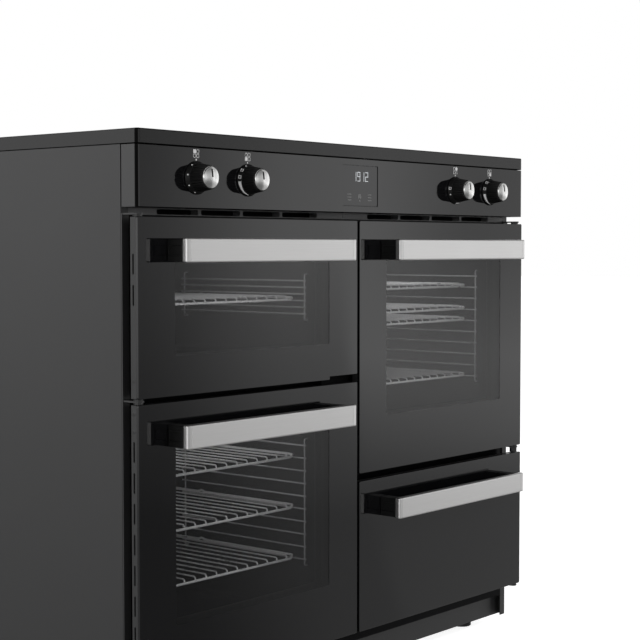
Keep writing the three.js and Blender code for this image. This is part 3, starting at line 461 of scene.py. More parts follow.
# %% Group: punched sheet
# Holes on a square grid: the place within a cell is fract(p / pitch) - 1/2.
punched_group, punched_in, punched_out = new_group(
    "punched", {"Pitch": 9 * MM, "Hole": 0.3}, {"Hole": FLOAT},
)
punched_place = split(punched_group, place_on_piece(punched_group))


def place_in_cell(axis):
    """Place within a hole's cell along one axis, as a share of the pitch from its middle."""
    cells = math_node(punched_group, "DIVIDE", punched_place[axis], punched_in["Pitch"])
    return about_zero(punched_group, math_node(punched_group, "FRACT", cells))


from_hole = vector_node(
    punched_group, "LENGTH", join(punched_group, X=place_in_cell("X"), Y=place_in_cell("Z")),
)
punched_out(Hole=math_node(punched_group, "LESS_THAN", from_hole, punched_in["Hole"]))
print("groups:", [group.name for group in bpy.data.node_groups])

# %% [markdown]
# ## Finishes
#
# `finish` builds a material from those effects: a base colour that the grain lightens or darkens
# a little, a roughness that the soft marks vary, and a bump. The plain numbers go straight onto
# the Principled shader.

# %% The finish builder
BUMP_HEIGHT = 0.5 * MM
SHADE_GAIN = 10


def group_node(tree, group, **sockets):
    """Place a node group in a material."""
    node = tree.nodes.new("ShaderNodeGroup")
    node.node_tree = group
    set_sockets(node, **sockets)
    return node


def finish(name, color, roughness, grain=(900, 0.02), bump=0.02, marks=(7, 0.05), pattern=None, **plain):
    """A Principled material: colour * (1 + shading * noise), roughness + marks, and a bump. grain is
    the noise's scale and shading, marks the clouds' scale and contrast; pattern is a group that
    takes the place of the grain."""
    material = bpy.data.materials.new(name)
    material.use_nodes = True
    tree = material.node_tree
    bsdf = tree.nodes["Principled BSDF"]
    texture = group_node(tree, pattern) if pattern else group_node(tree, grain_group, Scale=grain[0])
    cloud = group_node(tree, marks_group, Scale=marks[0], Contrast=marks[1])
    lift = math_node(tree, "MULTIPLY_ADD", texture.outputs["Shade"], grain[1] * SHADE_GAIN, 1.0)
    tree.links.new(vector_node(tree, "SCALE", color, Scale=lift), bsdf.inputs["Base Color"])
    rough = math_node(tree, "ADD", roughness, cloud.outputs["Mask"], clamp=True)
    tree.links.new(rough, bsdf.inputs["Roughness"])
    if "Normal" in texture.outputs:
        tree.links.new(texture.outputs["Normal"], bsdf.inputs["Normal"])
    elif bump:
        height = texture.outputs["Height"]
        raised = add(tree, "ShaderNodeBump", Strength=bump, Distance=BUMP_HEIGHT, Height=height)
        tree.links.new(raised.outputs[0], bsdf.inputs["Normal"])
    set_sockets(bsdf, **plain)
    return material


# %% Paints and enamel
PAINT = (1400, 0.03)
casing_paint = finish("casing_paint", (0.024, 0.024, 0.0245), 0.38, PAINT, 0.06)
# near-black: painted shade in seams and grooves, and a painted dark reflection along rounded front corners
corner_black = finish("corner_black", (0.001, 0.001, 0.001), 0.5, PAINT, Specular_IOR_Level=0.05)
# near-black, low gloss: on the air guide it is painted shade that keeps the vent slots dark; the catch block
# is black too
guide_paint = finish("guide_paint", (0.002, 0.002, 0.002), 0.7, PAINT, 0.05, Specular_IOR_Level=0.1)
hob_paint = finish("hob_paint", (0.004, 0.004, 0.0042), 0.20, PAINT, 0.04, Specular_IOR_Level=0.38)
# lighter grey than the casing, so the strips set back under the control panel don't go dark in its shade:
# painted light
strip_paint = finish("strip_paint", (0.13, 0.13, 0.131), 0.40, PAINT, 0.05)
end_paint = finish("end_paint", (0.036, 0.036, 0.0365), 0.42, PAINT, 0.05)
tray_paint = finish("tray_paint", (0.022, 0.022, 0.0225), 0.42, PAINT, 0.05)
oven_enamel = finish("oven_enamel", (0.006, 0.006, 0.0065), 0.14, (500, 0.05), 0.05, Specular_IOR_Level=0.04)

# %% Metals
zinc_steel = finish("zinc_steel", (0.50, 0.51, 0.52), 0.38, (120, 0.03), 0.04, Metallic=1.0)
anodised = finish(
    "anodised_bar", (0.77, 0.765, 0.76), 0.36, (0, 0.012), 0.05, pattern=brush_group, Metallic=1.0,
)
cap_metal = finish("cap_metal", (0.80, 0.80, 0.79), 0.18, (0, 0.01), pattern=spun_group, Metallic=1.0)
fan_steel = finish("fan_steel", (0.10, 0.10, 0.105), 0.40, (150, 0.02), 0.03, Metallic=1.0)
ladder_wire = finish("ladder_wire", (0.55, 0.55, 0.56), 0.30, (600, 0.01), Metallic=0.75)
bright_wire = finish("bright_wire", (0.80, 0.80, 0.81), 0.28, (600, 0.01), Metallic=0.72)

# %% Mouldings, seal and print
MOULDED_BLACK = (0.006, 0.006, 0.006)
black_moulding = finish("black_moulding", MOULDED_BLACK, 0.42, (2600, 0.03), 0.10, Specular_IOR_Level=0.3)
knob_moulding = finish("knob_moulding", MOULDED_BLACK, 0.42, (2600, 0.02), 0.05, Specular_IOR_Level=0.25)
foot_plastic = finish("foot_plastic", (0.010, 0.010, 0.010), 0.5, (1800, 0.03), 0.15)
seal_cloth = finish("seal_cloth", (0.05, 0.05, 0.052), 0.8, (700, 0.06), 0.6)
white_print = finish("white_print", (0.80, 0.80, 0.80), 0.45, (3000, 0.01), 0.0)
grey_print = finish("grey_print", (0.15, 0.15, 0.15), 0.4, (3000, 0.02), 0.0)
lit_digits = finish(
    "lit_digits", (0.4, 0.4, 0.4), 0.4, (3000, 0.01), 0.0,
    Emission_Color=(0.9, 0.95, 1, 1), Emission_Strength=0.5,
)

# %% [markdown]
# ### Glass
#
# The hob and the control panel are plain black glass. The front of each glazed door is one sheet,
# printed black on the inside except for a window. Modelling the print as a piece would put two
# surfaces in one place, so the print is a mask on the glass: solid black where it is printed,
# see-through where it isn't. A see-through surface scales its own mirror image down too, so the
# window gets a coat that makes up for it. Faces seen from behind are left fully clear, or the
# sheet would darken what is behind it twice.

# %% Glass materials
PRINT_LAP = 10 * MM  # the inner pane is larger than the window by this much all round
WINDOW_TINT = 0.35
PANE_TINT = 0.08
COAT_IOR = 1.7
COAT_ROUGHNESS = 0.03
GLASS_BLACK = (0.004, 0.004, 0.0045)
GLASS = {"grain": (60, 0.02), "bump": 0.0, "marks": (7, 0.02)}

hob_glass = finish("hob_glass", GLASS_BLACK, 0.05, **GLASS | {"marks": (7, 0.03)})
panel_glass = finish("panel_glass", GLASS_BLACK, 0.05, **GLASS)
display_lens = finish("display_lens", (0.003, 0.003, 0.004), 0.07, **GLASS)
inner_pane = finish(
    "inner_pane", (0.01, 0.011, 0.011), 0.04, Coat_Weight=1.0, Coat_Roughness=COAT_ROUGHNESS, **GLASS,
)


def see_through(material, solid):
    """Alpha = solid on front faces and 0 on faces seen from behind."""
    tree = material.node_tree
    front = math_node(tree, "SUBTRACT", 1.0, add(tree, "ShaderNodeNewGeometry").outputs["Backfacing"])
    tree.links.new(math_node(tree, "MULTIPLY", front, solid), tree.nodes["Principled BSDF"].inputs["Alpha"])


def printed_glass(door):
    """Black printed glass with a clear window where this door's inner pane is."""
    material = finish(
        f"{door}_printed_glass", GLASS_BLACK, 0.045,
        Coat_IOR=COAT_IOR, Coat_Roughness=COAT_ROUGHNESS, **GLASS,
    )
    tree = material.node_tree
    low, high = span(f"{door}_inner_glass")
    centre, half = (low + high) / 2, (high - low) / 2 - PRINT_LAP
    mask = group_node(
        tree, window_group, Centre_X=centre[0], Centre_Z=centre[2], Half_Width=half[0], Half_Height=half[2],
    )
    tree.links.new(mask.outputs["Clear"], tree.nodes["Principled BSDF"].inputs["Coat Weight"])
    see_through(material, math_node(tree, "MULTIPLY_ADD", mask.outputs["Window"], WINDOW_TINT - 1.0, 1.0))
    return material


see_through(inner_pane, PANE_TINT)
print("finishes:", len(bpy.data.materials))

# %% Dress the parts
FINISH_OF_SLOT = {
    "casing": casing_paint, "zinc_steel": zinc_steel, "enamel": oven_enamel, "display": display_lens,
    "door_tray": tray_paint, "grip": anodised, "black_plastic": black_moulding, "knob": knob_moulding,
    "seal": seal_cloth, "chrome": bright_wire, "black_glass": panel_glass, "inner_glass": inner_pane,
}
slot_of_part = {row["node"]: row["material_slot"] for row in frame["record"]["subparts"]}


def dress(part, material):
    """Put a material on a part's object; its mesh stays as it is."""
    parts[part].material_slots[0].link = "OBJECT"
    parts[part].material_slots[0].material = material


for part, slot in slot_of_part.items():
    dress(part, FINISH_OF_SLOT[slot])
dress("hob_glass", hob_glass)
print("dressed:", len(slot_of_part))

# %% [markdown]
# ## Surfaces from arrays
#
# The smooth pieces are all skins over rings. A ring is a closed row of points; `loft` joins ring
# after ring with four-sided faces. A bar, a dial, a wire and a door pane are then only different
# ways to write the rings, and numpy writes all points of a piece at once. Faces that meet at a
# blunt angle are shaded as one curve, but the broad flat ones keep their own direction.

# %% Skin over rings


def loft(rings, closed=False, bands=0, columns=0):
    """Skin over rings[i, j], point j of ring i: ring i joins ring i+1, and the ends get one face each,
    unless closed, where the last ring joins the first. bands gives a material number for each gap
    between rings, columns one for each gap between points, over and over if there are fewer; a face
    gets the larger of its two."""
    count, around = rings.shape[:2]
    gaps = count if closed else count - 1
    i = np.arange(gaps)[:, None]
    j = np.arange(around)[None, :]
    after = (i + 1) % count
    quads = np.stack(np.broadcast_arrays(
        i * around + j, i * around + (j + 1) % around, after * around + (j + 1) % around, after * around + j,
    ), -1).reshape(-1, 4).tolist()
    by_ring, by_point = np.resize(bands, gaps)[:, None], np.resize(columns, around)[None, :]
    numbers = np.maximum(by_ring, by_point).ravel().tolist()
    if not closed:
        quads.append(list(range(around))[::-1])
        quads.append(list(range((count - 1) * around, count * around)))
        numbers += [numbers[0], numbers[-1]]
    return rings.reshape(-1, 3), quads, numbers


def with_material(shape, number):
    """The same shape with one material number on all its faces."""
    return shape[0], shape[1], [number] * len(shape[1])


# %% Make a piece
FLAT_RATIO = 8.0


def keep_flats_flat(mesh):
    """Mark the edge between a broad face and a narrow one as sharp, so a flat mirrors in one direction
    up to its rolled rim: sharp where the larger area is over FLAT_RATIO times the smaller."""
    areas = np.zeros(len(mesh.polygons))
    mesh.polygons.foreach_get("area", areas)
    corners = np.zeros(len(mesh.polygons), int)
    mesh.polygons.foreach_get("loop_total", corners)
    edges = np.zeros(len(mesh.loops), int)
    mesh.loops.foreach_get("edge_index", edges)
    larger = np.zeros(len(mesh.edges))
    np.maximum.at(larger, edges, np.repeat(areas, corners))
    smaller = np.full(len(mesh.edges), np.inf)
    np.minimum.at(smaller, edges, np.repeat(areas, corners))
    sharp = np.zeros(len(mesh.edges), bool)
    mesh.edges.foreach_get("use_edge_sharp", sharp)
    mesh.edges.foreach_set("use_edge_sharp", sharp | (larger > FLAT_RATIO * smaller))


def make_piece(name, shapes, materials, part=None, body="root", sharp=32, map_centre=None):
    """One object from several shapes. It stands for a part, and then takes its body and hides the part,
    or else rides on a body by itself. map_centre adds a map of each point's place in X and Z from there."""
    points, faces, numbers, start = [], [], [], 0
    for shape in shapes:
        points.append(shape[0])
        faces += [[start + corner for corner in face] for face in shape[1]]
        numbers += shape[2]
        start += len(shape[0])
    mesh = bpy.data.meshes.new(name)
    mesh.from_pydata(np.concatenate(points).tolist(), [], faces)
    mesh.polygons.foreach_set("material_index", numbers)
    for material in materials:
        mesh.materials.append(material)
    work = bmesh.new()
    work.from_mesh(mesh)
    bmesh.ops.recalc_face_normals(work, faces=work.faces)
    work.to_mesh(mesh)
    work.free()
    mesh.shade_smooth()
    mesh.set_sharp_from_angle(angle=math.radians(sharp))
    keep_flats_flat(mesh)
    if map_centre is not None:
        corner = np.zeros(len(mesh.loops), int)
        mesh.loops.foreach_get("vertex_index", corner)
        place = np.zeros(len(mesh.vertices) * 3)
        mesh.vertices.foreach_get("co", place)
        flat = (place.reshape(-1, 3) - map_centre)[corner][:, [0, 2]]
        mesh.uv_layers.new(name="place").data.foreach_set("uv", flat.ravel())
    piece = bpy.data.objects.new(name, mesh)
    bpy.context.scene.collection.objects.link(piece)
    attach(piece, body_of_part[part] if part else body)
    if part:
        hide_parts(part)


# %% Outlines and rims


def rounded_rectangle(width, height, radius, steps=5):
    """Outline about the origin: each corner's centre plus radius * (cos t, sin t) over a quarter turn."""
    turn = (np.arange(4)[:, None] + np.linspace(0, 1, steps + 1)[None, :]) * (math.pi / 2)
    signs = np.array([[1, 1], [-1, 1], [-1, -1], [1, -1]])
    centre = signs * [width / 2 - radius, height / 2 - radius]
    return (centre[:, None, :] + radius * np.stack([np.cos(turn), np.sin(turn)], -1)).reshape(-1, 2)


def place_outline(outline, along, level):
    """Put a flat outline into space at a level of one axis; its columns are the other two, in order."""
    across, up = [axis for axis in range(3) if axis != along]
    ring = np.zeros((len(outline), 3))
    ring[:, across], ring[:, up], ring[:, along] = outline[:, 0], outline[:, 1], level
    return ring


def quarter(radius, steps=4):
    """Rim of a rounded edge: [inset, depth] = radius * (1 - sin t, 1 - cos t), from the face down."""
    turn = np.linspace(0, math.pi / 2, steps + 1)
    return np.column_stack([radius * (1 - np.sin(turn)), radius * (1 - np.cos(turn))])


def both_faces(low, high, edge):
    """Rows [inset, level] of a sheet between two levels, with a quarter-round rim on each face."""
    rim = quarter(edge)
    rows = [(inset, low + depth) for inset, depth in rim]
    return rows + [(inset, high - depth) for inset, depth in rim[::-1]]


def drawn_in(low, high, rows, radius, least=0.5 * MM, along=1, steps=5):
    """Rings on a box's outline: each [inset, level] of the rows becomes a rounded rectangle, drawn in
    by inset, at that level. Its corners have radius - inset, but no less than least."""
    across, up = [axis for axis in range(3) if axis != along]
    centre, size = (low + high) / 2, high - low
    rings = []
    for inset, level in rows:
        width, height = size[across] - 2 * inset, size[up] - 2 * inset
        outline = rounded_rectangle(width, height, max(radius - inset, least), steps)
        rings.append(place_outline(outline + centre[[across, up]], along, level))
    return np.array(rings)


def rounded_slab(low, high, radius, edge, along=1):
    """A slab with rounded corners and rims; both faces are the same."""
    low, high = np.array(low, float), np.array(high, float)
    return loft(drawn_in(low, high, both_faces(low[along], high[along], edge), radius, edge / 8, along))


# %% [markdown]
# ## Hob surround
#
# A folded steel rim with rolled edges; the glass lies on a ledge inside it. Its section is drawn
# once as [how far in, how high] and carried round a rounded rectangle, so the corner keeps the
# same roll as the straight runs. The part of each front corner that turns to the side is painted
# black as a dark reflection, and the bottom roll is painted black as the shade in its seam: they
# are the dark upright line and the dark seam that the real one shows.

# %% Hob surround
HOB_ROLL = 2.0 * MM
HOB_SEAM = 1.2 * MM
HOB_CORNER = 5.5 * MM
HOB_RIM = 8.0 * MM
HOB_LIP = 0.4 * MM
HOB_LEDGE = 12.0 * MM
HOB_WALL = 3.0 * MM
GLASS_SEAT = 5.3 * MM
CORNER_STEPS = 8
# steps of each front corner painted black as a dark reflection
CORNER_DARK_REFLECTION = 5  # of those steps

low, high = span("hob_trim")
seat = high[2] - GLASS_SEAT
ledge_end = HOB_RIM + HOB_LEDGE
rim = quarter(HOB_ROLL)
profile = [(inset, high[2] - depth) for inset, depth in rim]
profile += [(inset, low[2] + depth) for inset, depth in quarter(HOB_SEAM)[::-1]]
profile += [(HOB_WALL, low[2]), (HOB_WALL, seat - HOB_WALL), (ledge_end, seat - HOB_WALL), (ledge_end, seat)]
profile += [(HOB_RIM, seat), (HOB_RIM, high[2] - HOB_LIP), (HOB_RIM - HOB_LIP, high[2])]
front_left, front_right = 2 * (CORNER_STEPS + 1), 3 * (CORNER_STEPS + 1)
# columns of the front corners painted black as a dark reflection
corner_reflection_columns = np.zeros(4 * (CORNER_STEPS + 1), int)
corner_reflection_columns[front_left:front_left + CORNER_DARK_REFLECTION] = 1
corner_reflection_columns[front_right + CORNER_STEPS - CORNER_DARK_REFLECTION:front_right + CORNER_STEPS] = 1
# rows of the bottom roll painted black as the shade in the seam
seam_shade_rows = np.zeros(len(profile), int)
seam_shade_rows[len(rim):2 * len(rim)] = 1
rings = drawn_in(low, high, profile, HOB_CORNER, along=2, steps=CORNER_STEPS)
surround = loft(rings, True, seam_shade_rows, corner_reflection_columns)
make_piece("hob_surround", [surround], [hob_paint, corner_black], "hob_trim")
print("hob surround:", len(profile), "points in its section")

# %% [markdown]
# ## Control panel
#
# A glass-fronted box with a sunk display. One loft makes all of it: the floor of the display
# recess, its wall, the flat front out to the edges, and the round corners, where the rings are
# drawn in by r * (1 - sin t) while they sink by r * (1 - cos t). The top and bottom edges get
# a far smaller rim than the ends, so the rings shrink by different amounts in X and Z. The outer
# part of each round corner is painted black as a dark reflection. Behind the painted end face a
# narrow groove, painted black as shade, parts the panel from the side.

# %% Control panel
PANEL_CORNER = 5.5 * MM
PANEL_RIM = 0.6 * MM
PANEL_ARRIS = 0.4 * MM
PANEL_SEAM = 1.8 * MM
LENS_GAP = 0.35 * MM
LENS_SINK = 1.1 * MM
LENS_CORNER = 1.5 * MM
LENS_RIM = 0.25 * MM
RECESS_RIM = 0.3 * MM
RECESS_FLOOR = 0.1 * MM  # behind the lens

low, high = span("fascia")
lens_low, lens_high = span("display_window")


def front_ring(low, high, grow_x, grow_z, radius, y):
    """A rounded rectangle round a part's front, grown in X and Z, at one depth."""
    centre, size = (low + high)[[0, 2]] / 2, (high - low)[[0, 2]]
    outline = rounded_rectangle(size[0] + 2 * grow_x, size[1] + 2 * grow_z, radius)
    return place_outline(outline + centre, 1, y)


recess = [
    (LENS_GAP, lens_high[1] + RECESS_FLOOR), (LENS_GAP, FRONT + RECESS_RIM), (LENS_GAP + RECESS_RIM, FRONT),
]
rings = [front_ring(lens_low, lens_high, grow, grow, LENS_CORNER + grow, y) for grow, y in recess]
rings += [
    front_ring(low, high, -inset, -inset * PANEL_RIM / PANEL_CORNER, PANEL_ARRIS, FRONT + depth)
    for inset, depth in quarter(PANEL_CORNER, CORNER_STEPS)
]
groove = high[1] - PANEL_SEAM
rings += [
    front_ring(low, high, -inset, 0, PANEL_ARRIS, y)
    for inset, y in ((0, groove), (PANEL_SEAM, groove), (PANEL_SEAM, high[1]))
]
# material numbers: painted dark reflection on the corner, the end face, painted shade in the groove
corner_bands = [2] * CORNER_DARK_REFLECTION + [1, 2, 2]  # the dark part of the corner, the end face, the groove
bands = [0] * (len(rings) - 1 - len(corner_bands)) + corner_bands
panel_finishes = [panel_glass, end_paint, corner_black]
make_piece("control_panel", [loft(np.array(rings), bands=bands)], panel_finishes, "fascia")
lens_face = FRONT + LENS_SINK
lens = rounded_slab((lens_low[0], lens_face, lens_low[2]), lens_high, LENS_CORNER, LENS_RIM)
make_piece("display_lens", [lens], [display_lens], "display_window")
print("control panel rings:", len(rings))

# %% [markdown]
# ### Display
#
# Seven short bars make every digit; a table says which bars each digit lights. Below the time lie
# three faint touch marks. All of it is thin print on the lens, so it stays with the lens in any
# picture and from any side.

# %% Time on the display
PRINT_THICKNESS = 0.08 * MM
TIME = "1912"
BARS_OF_DIGIT = {"1": "bc", "2": "abged", "9": "abcdfg"}
TIME_LEFT, TIME_RIGHT = -13.0 * MM, 25.7 * MM
TIME_BOTTOM, TIME_TOP = 840.6 * MM, 856.0 * MM
DIGIT_WIDTH = 7.2 * MM
DIGIT_BAR = 1.0 * MM


def plate(low, high):
    """A plain thin block between two corners, for print."""
    low, high = np.array(low, float), np.array(high, float)
    corners = np.array([[x, y, z] for x in (0, 1) for y in (0, 1) for z in (0, 1)])
    faces = [[0, 1, 3, 2], [4, 6, 7, 5], [0, 4, 5, 1], [2, 3, 7, 6], [0, 2, 6, 4], [1, 5, 7, 3]]
    return low + corners * (high - low), faces, [0] * 6


def print_on(y, x0, x1, z0, z1):
    """A thin printed rectangle in front of depth y."""
    return plate((x0, y - PRINT_THICKNESS, z0), (x1, y, z1))


def digit(text, x0):
    """The lit bars of one digit that starts at x0: a, g and d lie across from the top down, f and b
    stand above the middle, e and c below it."""
    x1, z0, z1, bar = x0 + DIGIT_WIDTH, TIME_BOTTOM, TIME_TOP, DIGIT_BAR
    middle_z = (z0 + z1) / 2
    bars = {
        "a": (x0, x1, z1 - bar, z1), "g": (x0, x1, middle_z - bar / 2, middle_z + bar / 2),
        "d": (x0, x1, z0, z0 + bar), "f": (x0, x0 + bar, middle_z, z1), "b": (x1 - bar, x1, middle_z, z1),
        "e": (x0, x0 + bar, z0, middle_z), "c": (x1 - bar, x1, z0, middle_z),
    }
    return [print_on(lens_face, *bars[name]) for name in BARS_OF_DIGIT[text]]


digit_pitch = (TIME_RIGHT - TIME_LEFT - DIGIT_WIDTH) / (len(TIME) - 1)
shapes = [bar for place, text in enumerate(TIME) for bar in digit(text, TIME_LEFT + place * digit_pitch)]
make_piece("display_time", shapes, [lit_digits])
print("bars lit:", len(shapes))

# %% Touch marks
TOUCH_LEFT, TOUCH_MIDDLE, TOUCH_RIGHT = -23.5 * MM, 3.2 * MM, 30.0 * MM
TOUCH_LEVEL = 813.4 * MM
TOUCH_WIDTH = 10 * MM
TOUCH_LINE = 1.6 * MM
TOUCH_PITCH = 4.8 * MM
TOUCH_DOT, TOUCH_DOT_RISE = 4.4 * MM, 2 * MM
TOUCH_STEM, TOUCH_STEM_LOW, TOUCH_STEM_HIGH = 2.8 * MM, -6.5 * MM, -1 * MM


def turned(profile, centre, along=1, sides=48):
    """A turned form: each [radius, place] of the profile becomes a circle about the axis."""
    across, up = [axis for axis in range(3) if axis != along]
    turn = np.arange(sides) * (2 * math.pi / sides)
    profile = np.array(profile, float)
    rings = np.zeros((len(profile), sides, 3))
    rings[..., across] = centre[across] + profile[:, :1] * np.cos(turn)
    rings[..., up] = centre[up] + profile[:, :1] * np.sin(turn)
    rings[..., along] = profile[:, 1:]
    return loft(rings)


shapes = [
    print_on(lens_face, x - TOUCH_WIDTH / 2, x + TOUCH_WIDTH / 2, z, z + TOUCH_LINE)
    for x in (TOUCH_LEFT, TOUCH_RIGHT) for z in TOUCH_LEVEL + np.array([-1, 0, 1]) * TOUCH_PITCH
]
shapes.append(turned(
    [(TOUCH_DOT, lens_face), (TOUCH_DOT, lens_face - PRINT_THICKNESS)],
    (TOUCH_MIDDLE, 0, TOUCH_LEVEL + TOUCH_DOT_RISE), sides=24,
))
shapes.append(print_on(
    lens_face, TOUCH_MIDDLE - TOUCH_STEM / 2, TOUCH_MIDDLE + TOUCH_STEM / 2,
    TOUCH_LEVEL + TOUCH_STEM_LOW, TOUCH_LEVEL + TOUCH_STEM_HIGH,
))
make_piece("display_touch_marks", shapes, [grey_print])
print("touch marks:", len(shapes))

# %% [markdown]
# ### Zone marks
#
# Over each knob a small sign shows four squares for the four heating zones, with the knob's own
# zone filled in, and under it a short stem and two feet. It is print on the glass, so each square
# is a thin plate or four thin lines.

# %% Zone marks above the knobs
ZONE_LEVEL = 868.6 * MM
ZONE_CELL = 5.6 * MM
ZONE_LINE = 0.7 * MM
ZONE_PITCH = 6.4 * MM
ZONE_LEFT_OF_KNOB = 0.3 * MM
STEM_BELOW, FEET_BELOW = (4.2 * MM, 1.6 * MM), (6.6 * MM, 5.6 * MM)
ZONE_SUPPORT = [
    (0, 2.0 * MM, STEM_BELOW), (-3.0 * MM, 1.8 * MM, FEET_BELOW), (3.0 * MM, 1.8 * MM, FEET_BELOW),
]  # a stem and two feet: place, width, and how far below the squares
ZONE_OF_KNOB = {"knob_1": (-1, 1), "knob_2": (-1, -1), "knob_3": (1, 1), "knob_4": (1, -1)}


def cell_mark(x, z, solid):
    """One burner of a zone mark: a filled square or only its four lines."""
    half = ZONE_CELL / 2
    if solid:
        return [print_on(FRONT, x - half, x + half, z - half, z + half)]
    lines = []
    for side in (-1, 1):
        edge_x, edge_z = x + side * half, z + side * half
        lines.append((x - half, x + half, *sorted((edge_z, edge_z - side * ZONE_LINE))))
        lines.append((*sorted((edge_x, edge_x - side * ZONE_LINE)), z - half, z + half))
    return [print_on(FRONT, *line) for line in lines]


for part in KNOBS:
    x = middle(part)[0] - ZONE_LEFT_OF_KNOB
    shapes = []
    for column in (-1, 1):
        for row in (-1, 1):
            own = ZONE_OF_KNOB[part] == (column, row)
            shapes += cell_mark(x + column * ZONE_PITCH / 2, ZONE_LEVEL + row * ZONE_PITCH / 2, own)
    under = ZONE_LEVEL - ZONE_PITCH / 2 - ZONE_CELL / 2
    for shift, width, below in ZONE_SUPPORT:
        left, right = x + shift - width / 2, x + shift + width / 2
        shapes.append(print_on(FRONT, left, right, under - below[0], under - below[1]))
    make_piece(f"{part}_zone_mark", shapes, [white_print])
print("zone marks:", len(KNOBS))

# %% [markdown]
# ## Door glass
#
# Each door front is a toughened pane with ground edges. The small oven's pane has a step cut out of
# its free lower corner. The outline is written with its corner arcs and, for that pane, the three
# points of the step; drawn in ring by ring it gives the ground edge as well.

# %% Door glass
PANE_CORNER = 2.5 * MM
PANE_EDGE = 0.6 * MM
STEP_WIDTH = 72 * MM
STEP_HEIGHT = 5.4 * MM


def pane_outline(width, height, inset, stepped):
    """Outline of a pane about its centre, drawn in by inset; a stepped one has no lower right corner."""
    outline = rounded_rectangle(width - 2 * inset, height - 2 * inset, PANE_CORNER - inset)
    if not stepped:
        return outline
    x, z = width / 2 - inset, -height / 2 + inset
    step = np.array([(x - STEP_WIDTH, z), (x - STEP_WIDTH, z + STEP_HEIGHT), (x, z + STEP_HEIGHT)])
    return np.concatenate([outline[:len(outline) * 3 // 4], step])


for door, part, low, high in each(DOORS, "door_glass"):
    centre, size = (low + high) / 2, high - low
    pane = loft(np.array([
        place_outline(
            pane_outline(size[0], size[2], inset, door == "upper_left") + centre[[0, 2]], 1, y,
        ) for inset, y in both_faces(low[1], high[1], PANE_EDGE)
    ]))
    glass = printed_glass(door) if door in GLAZED else panel_glass
    make_piece(f"{door}_pane", [pane], [glass], part)
print("panes:", len(DOORS))

# %% [markdown]
# ## Bar handles
#
# Each handle is a flat aluminium bar on a black moulding that stands off the door glass. The bar
# is extruded and anodised, with a plated cap pushed on each end, so a fine joint shows near the
# ends. A bar could be a box with a Bevel modifier; here the rims are written as quarter rounds,
# because their radius decides how wide the dark and light lines along the edges are.

# %% Bar handles
GRIP_RIM = 2.4 * MM
GRIP_RIM_STEPS = 5
CAP_LENGTH = 9.0 * MM
CAP_JOINT = 0.35 * MM
BAR_RIM = 0.25 * MM


def bar_end(x, inwards, rounded):
    """Rows [inset, x] from the tip of a bar inwards: a full quarter round or a fine bevel."""
    rim = quarter(GRIP_RIM, GRIP_RIM_STEPS) if rounded else [(BAR_RIM, 0), (0, BAR_RIM)]
    return [(inset, x + inwards * run) for inset, run in rim]


def bar_between(low, high, x_from, x_to, round_from=False, round_to=False):
    """The handle's bar along X between two places. Its section is a rectangle with quarter-round
    rims; towards a rounded end the section is drawn in along a quarter round as well."""
    rows = bar_end(x_from, 1, round_from) + bar_end(x_to, -1, round_to)[::-1]
    return loft(drawn_in(low, high, rows, GRIP_RIM, least=0.2 * MM, along=0, steps=6))


for door, part, low, high in each(DOORS, "handle_grip"):
    cap_low, cap_high = low[0] + CAP_LENGTH, high[0] - CAP_LENGTH
    shapes = [
        bar_between(low, high, low[0], cap_low - CAP_JOINT, round_from=True),
        bar_between(low, high, cap_low, cap_high),
        bar_between(low, high, cap_high + CAP_JOINT, high[0], round_to=True),
    ]
    make_piece(f"{door}_grip", shapes, [anodised], part, sharp=50)
print("grips:", len(DOORS))

# %% Handle mouldings
FOOT_WIDTH = 20 * MM
FOOT_INSET = 1 * MM
FOOT_BELOW_PLATE = 0.4 * MM
FOOT_CORNER = 1 * MM
BACK_PLATE = 4 * MM
BACK_PLATE_CORNER = 3 * MM
MOULD_RIM = 0.8 * MM
CHANNEL_MARGIN = 2.5 * MM
CHANNEL_HEIGHT = 14 * MM
CHANNEL_DEPTH = 1.5 * MM
CHANNEL_SLOPE = 0.5 * MM


def handle_foot(x_out, hand, low_y, high_y, level, height):
    """A foot along X with a shallow channel pressed into its outer end."""
    centre = np.array([(low_y + high_y) / 2, level])
    width = high_y - low_y
    floor_width = width - 2 * (CHANNEL_MARGIN + CHANNEL_SLOPE)
    rows = [
        (floor_width, CHANNEL_HEIGHT, hand * CHANNEL_DEPTH),
        (floor_width + 2 * CHANNEL_SLOPE, CHANNEL_HEIGHT + 2 * CHANNEL_SLOPE, 0),
    ]
    rows += [(width - 2 * inset, height - 2 * inset, hand * depth) for inset, depth in quarter(MOULD_RIM)]
    rows.append((width, height, hand * FOOT_WIDTH))
    return loft(np.array([
        place_outline(rounded_rectangle(wide, tall, FOOT_CORNER) + centre, 0, x_out + run)
        for wide, tall, run in rows
    ]))


for door, part, low, high in each(DOORS, "handle_mount"):
    level, height = (low[2] + high[2]) / 2, high[2] - low[2] - FOOT_BELOW_PLATE
    shapes = [rounded_slab(low, (high[0], low[1] + BACK_PLATE, high[2]), BACK_PLATE_CORNER, MOULD_RIM)]
    for x_out, hand in ((low[0] + FOOT_INSET, 1), (high[0] - FOOT_INSET, -1)):
        shapes.append(handle_foot(x_out, hand, low[1] + BACK_PLATE / 2, high[1], level, height))
    make_piece(f"{door}_handle_moulding", shapes, [black_moulding], part)
print("handle mouldings:", len(DOORS))

# %% [markdown]
# ## Knobs
#
# A knob is three pieces pressed together: a black skirt that carries the marks, a ribbed barrel
# that narrows to the front, and a bright metal cap with a pointer groove. Skirt and cap are turned
# forms. The barrel is a toothed ring carried forward: its radius is r - depth * (1 - cos(n a)) / 2
# at angle a, so the ribs have round backs and no sharp teeth.

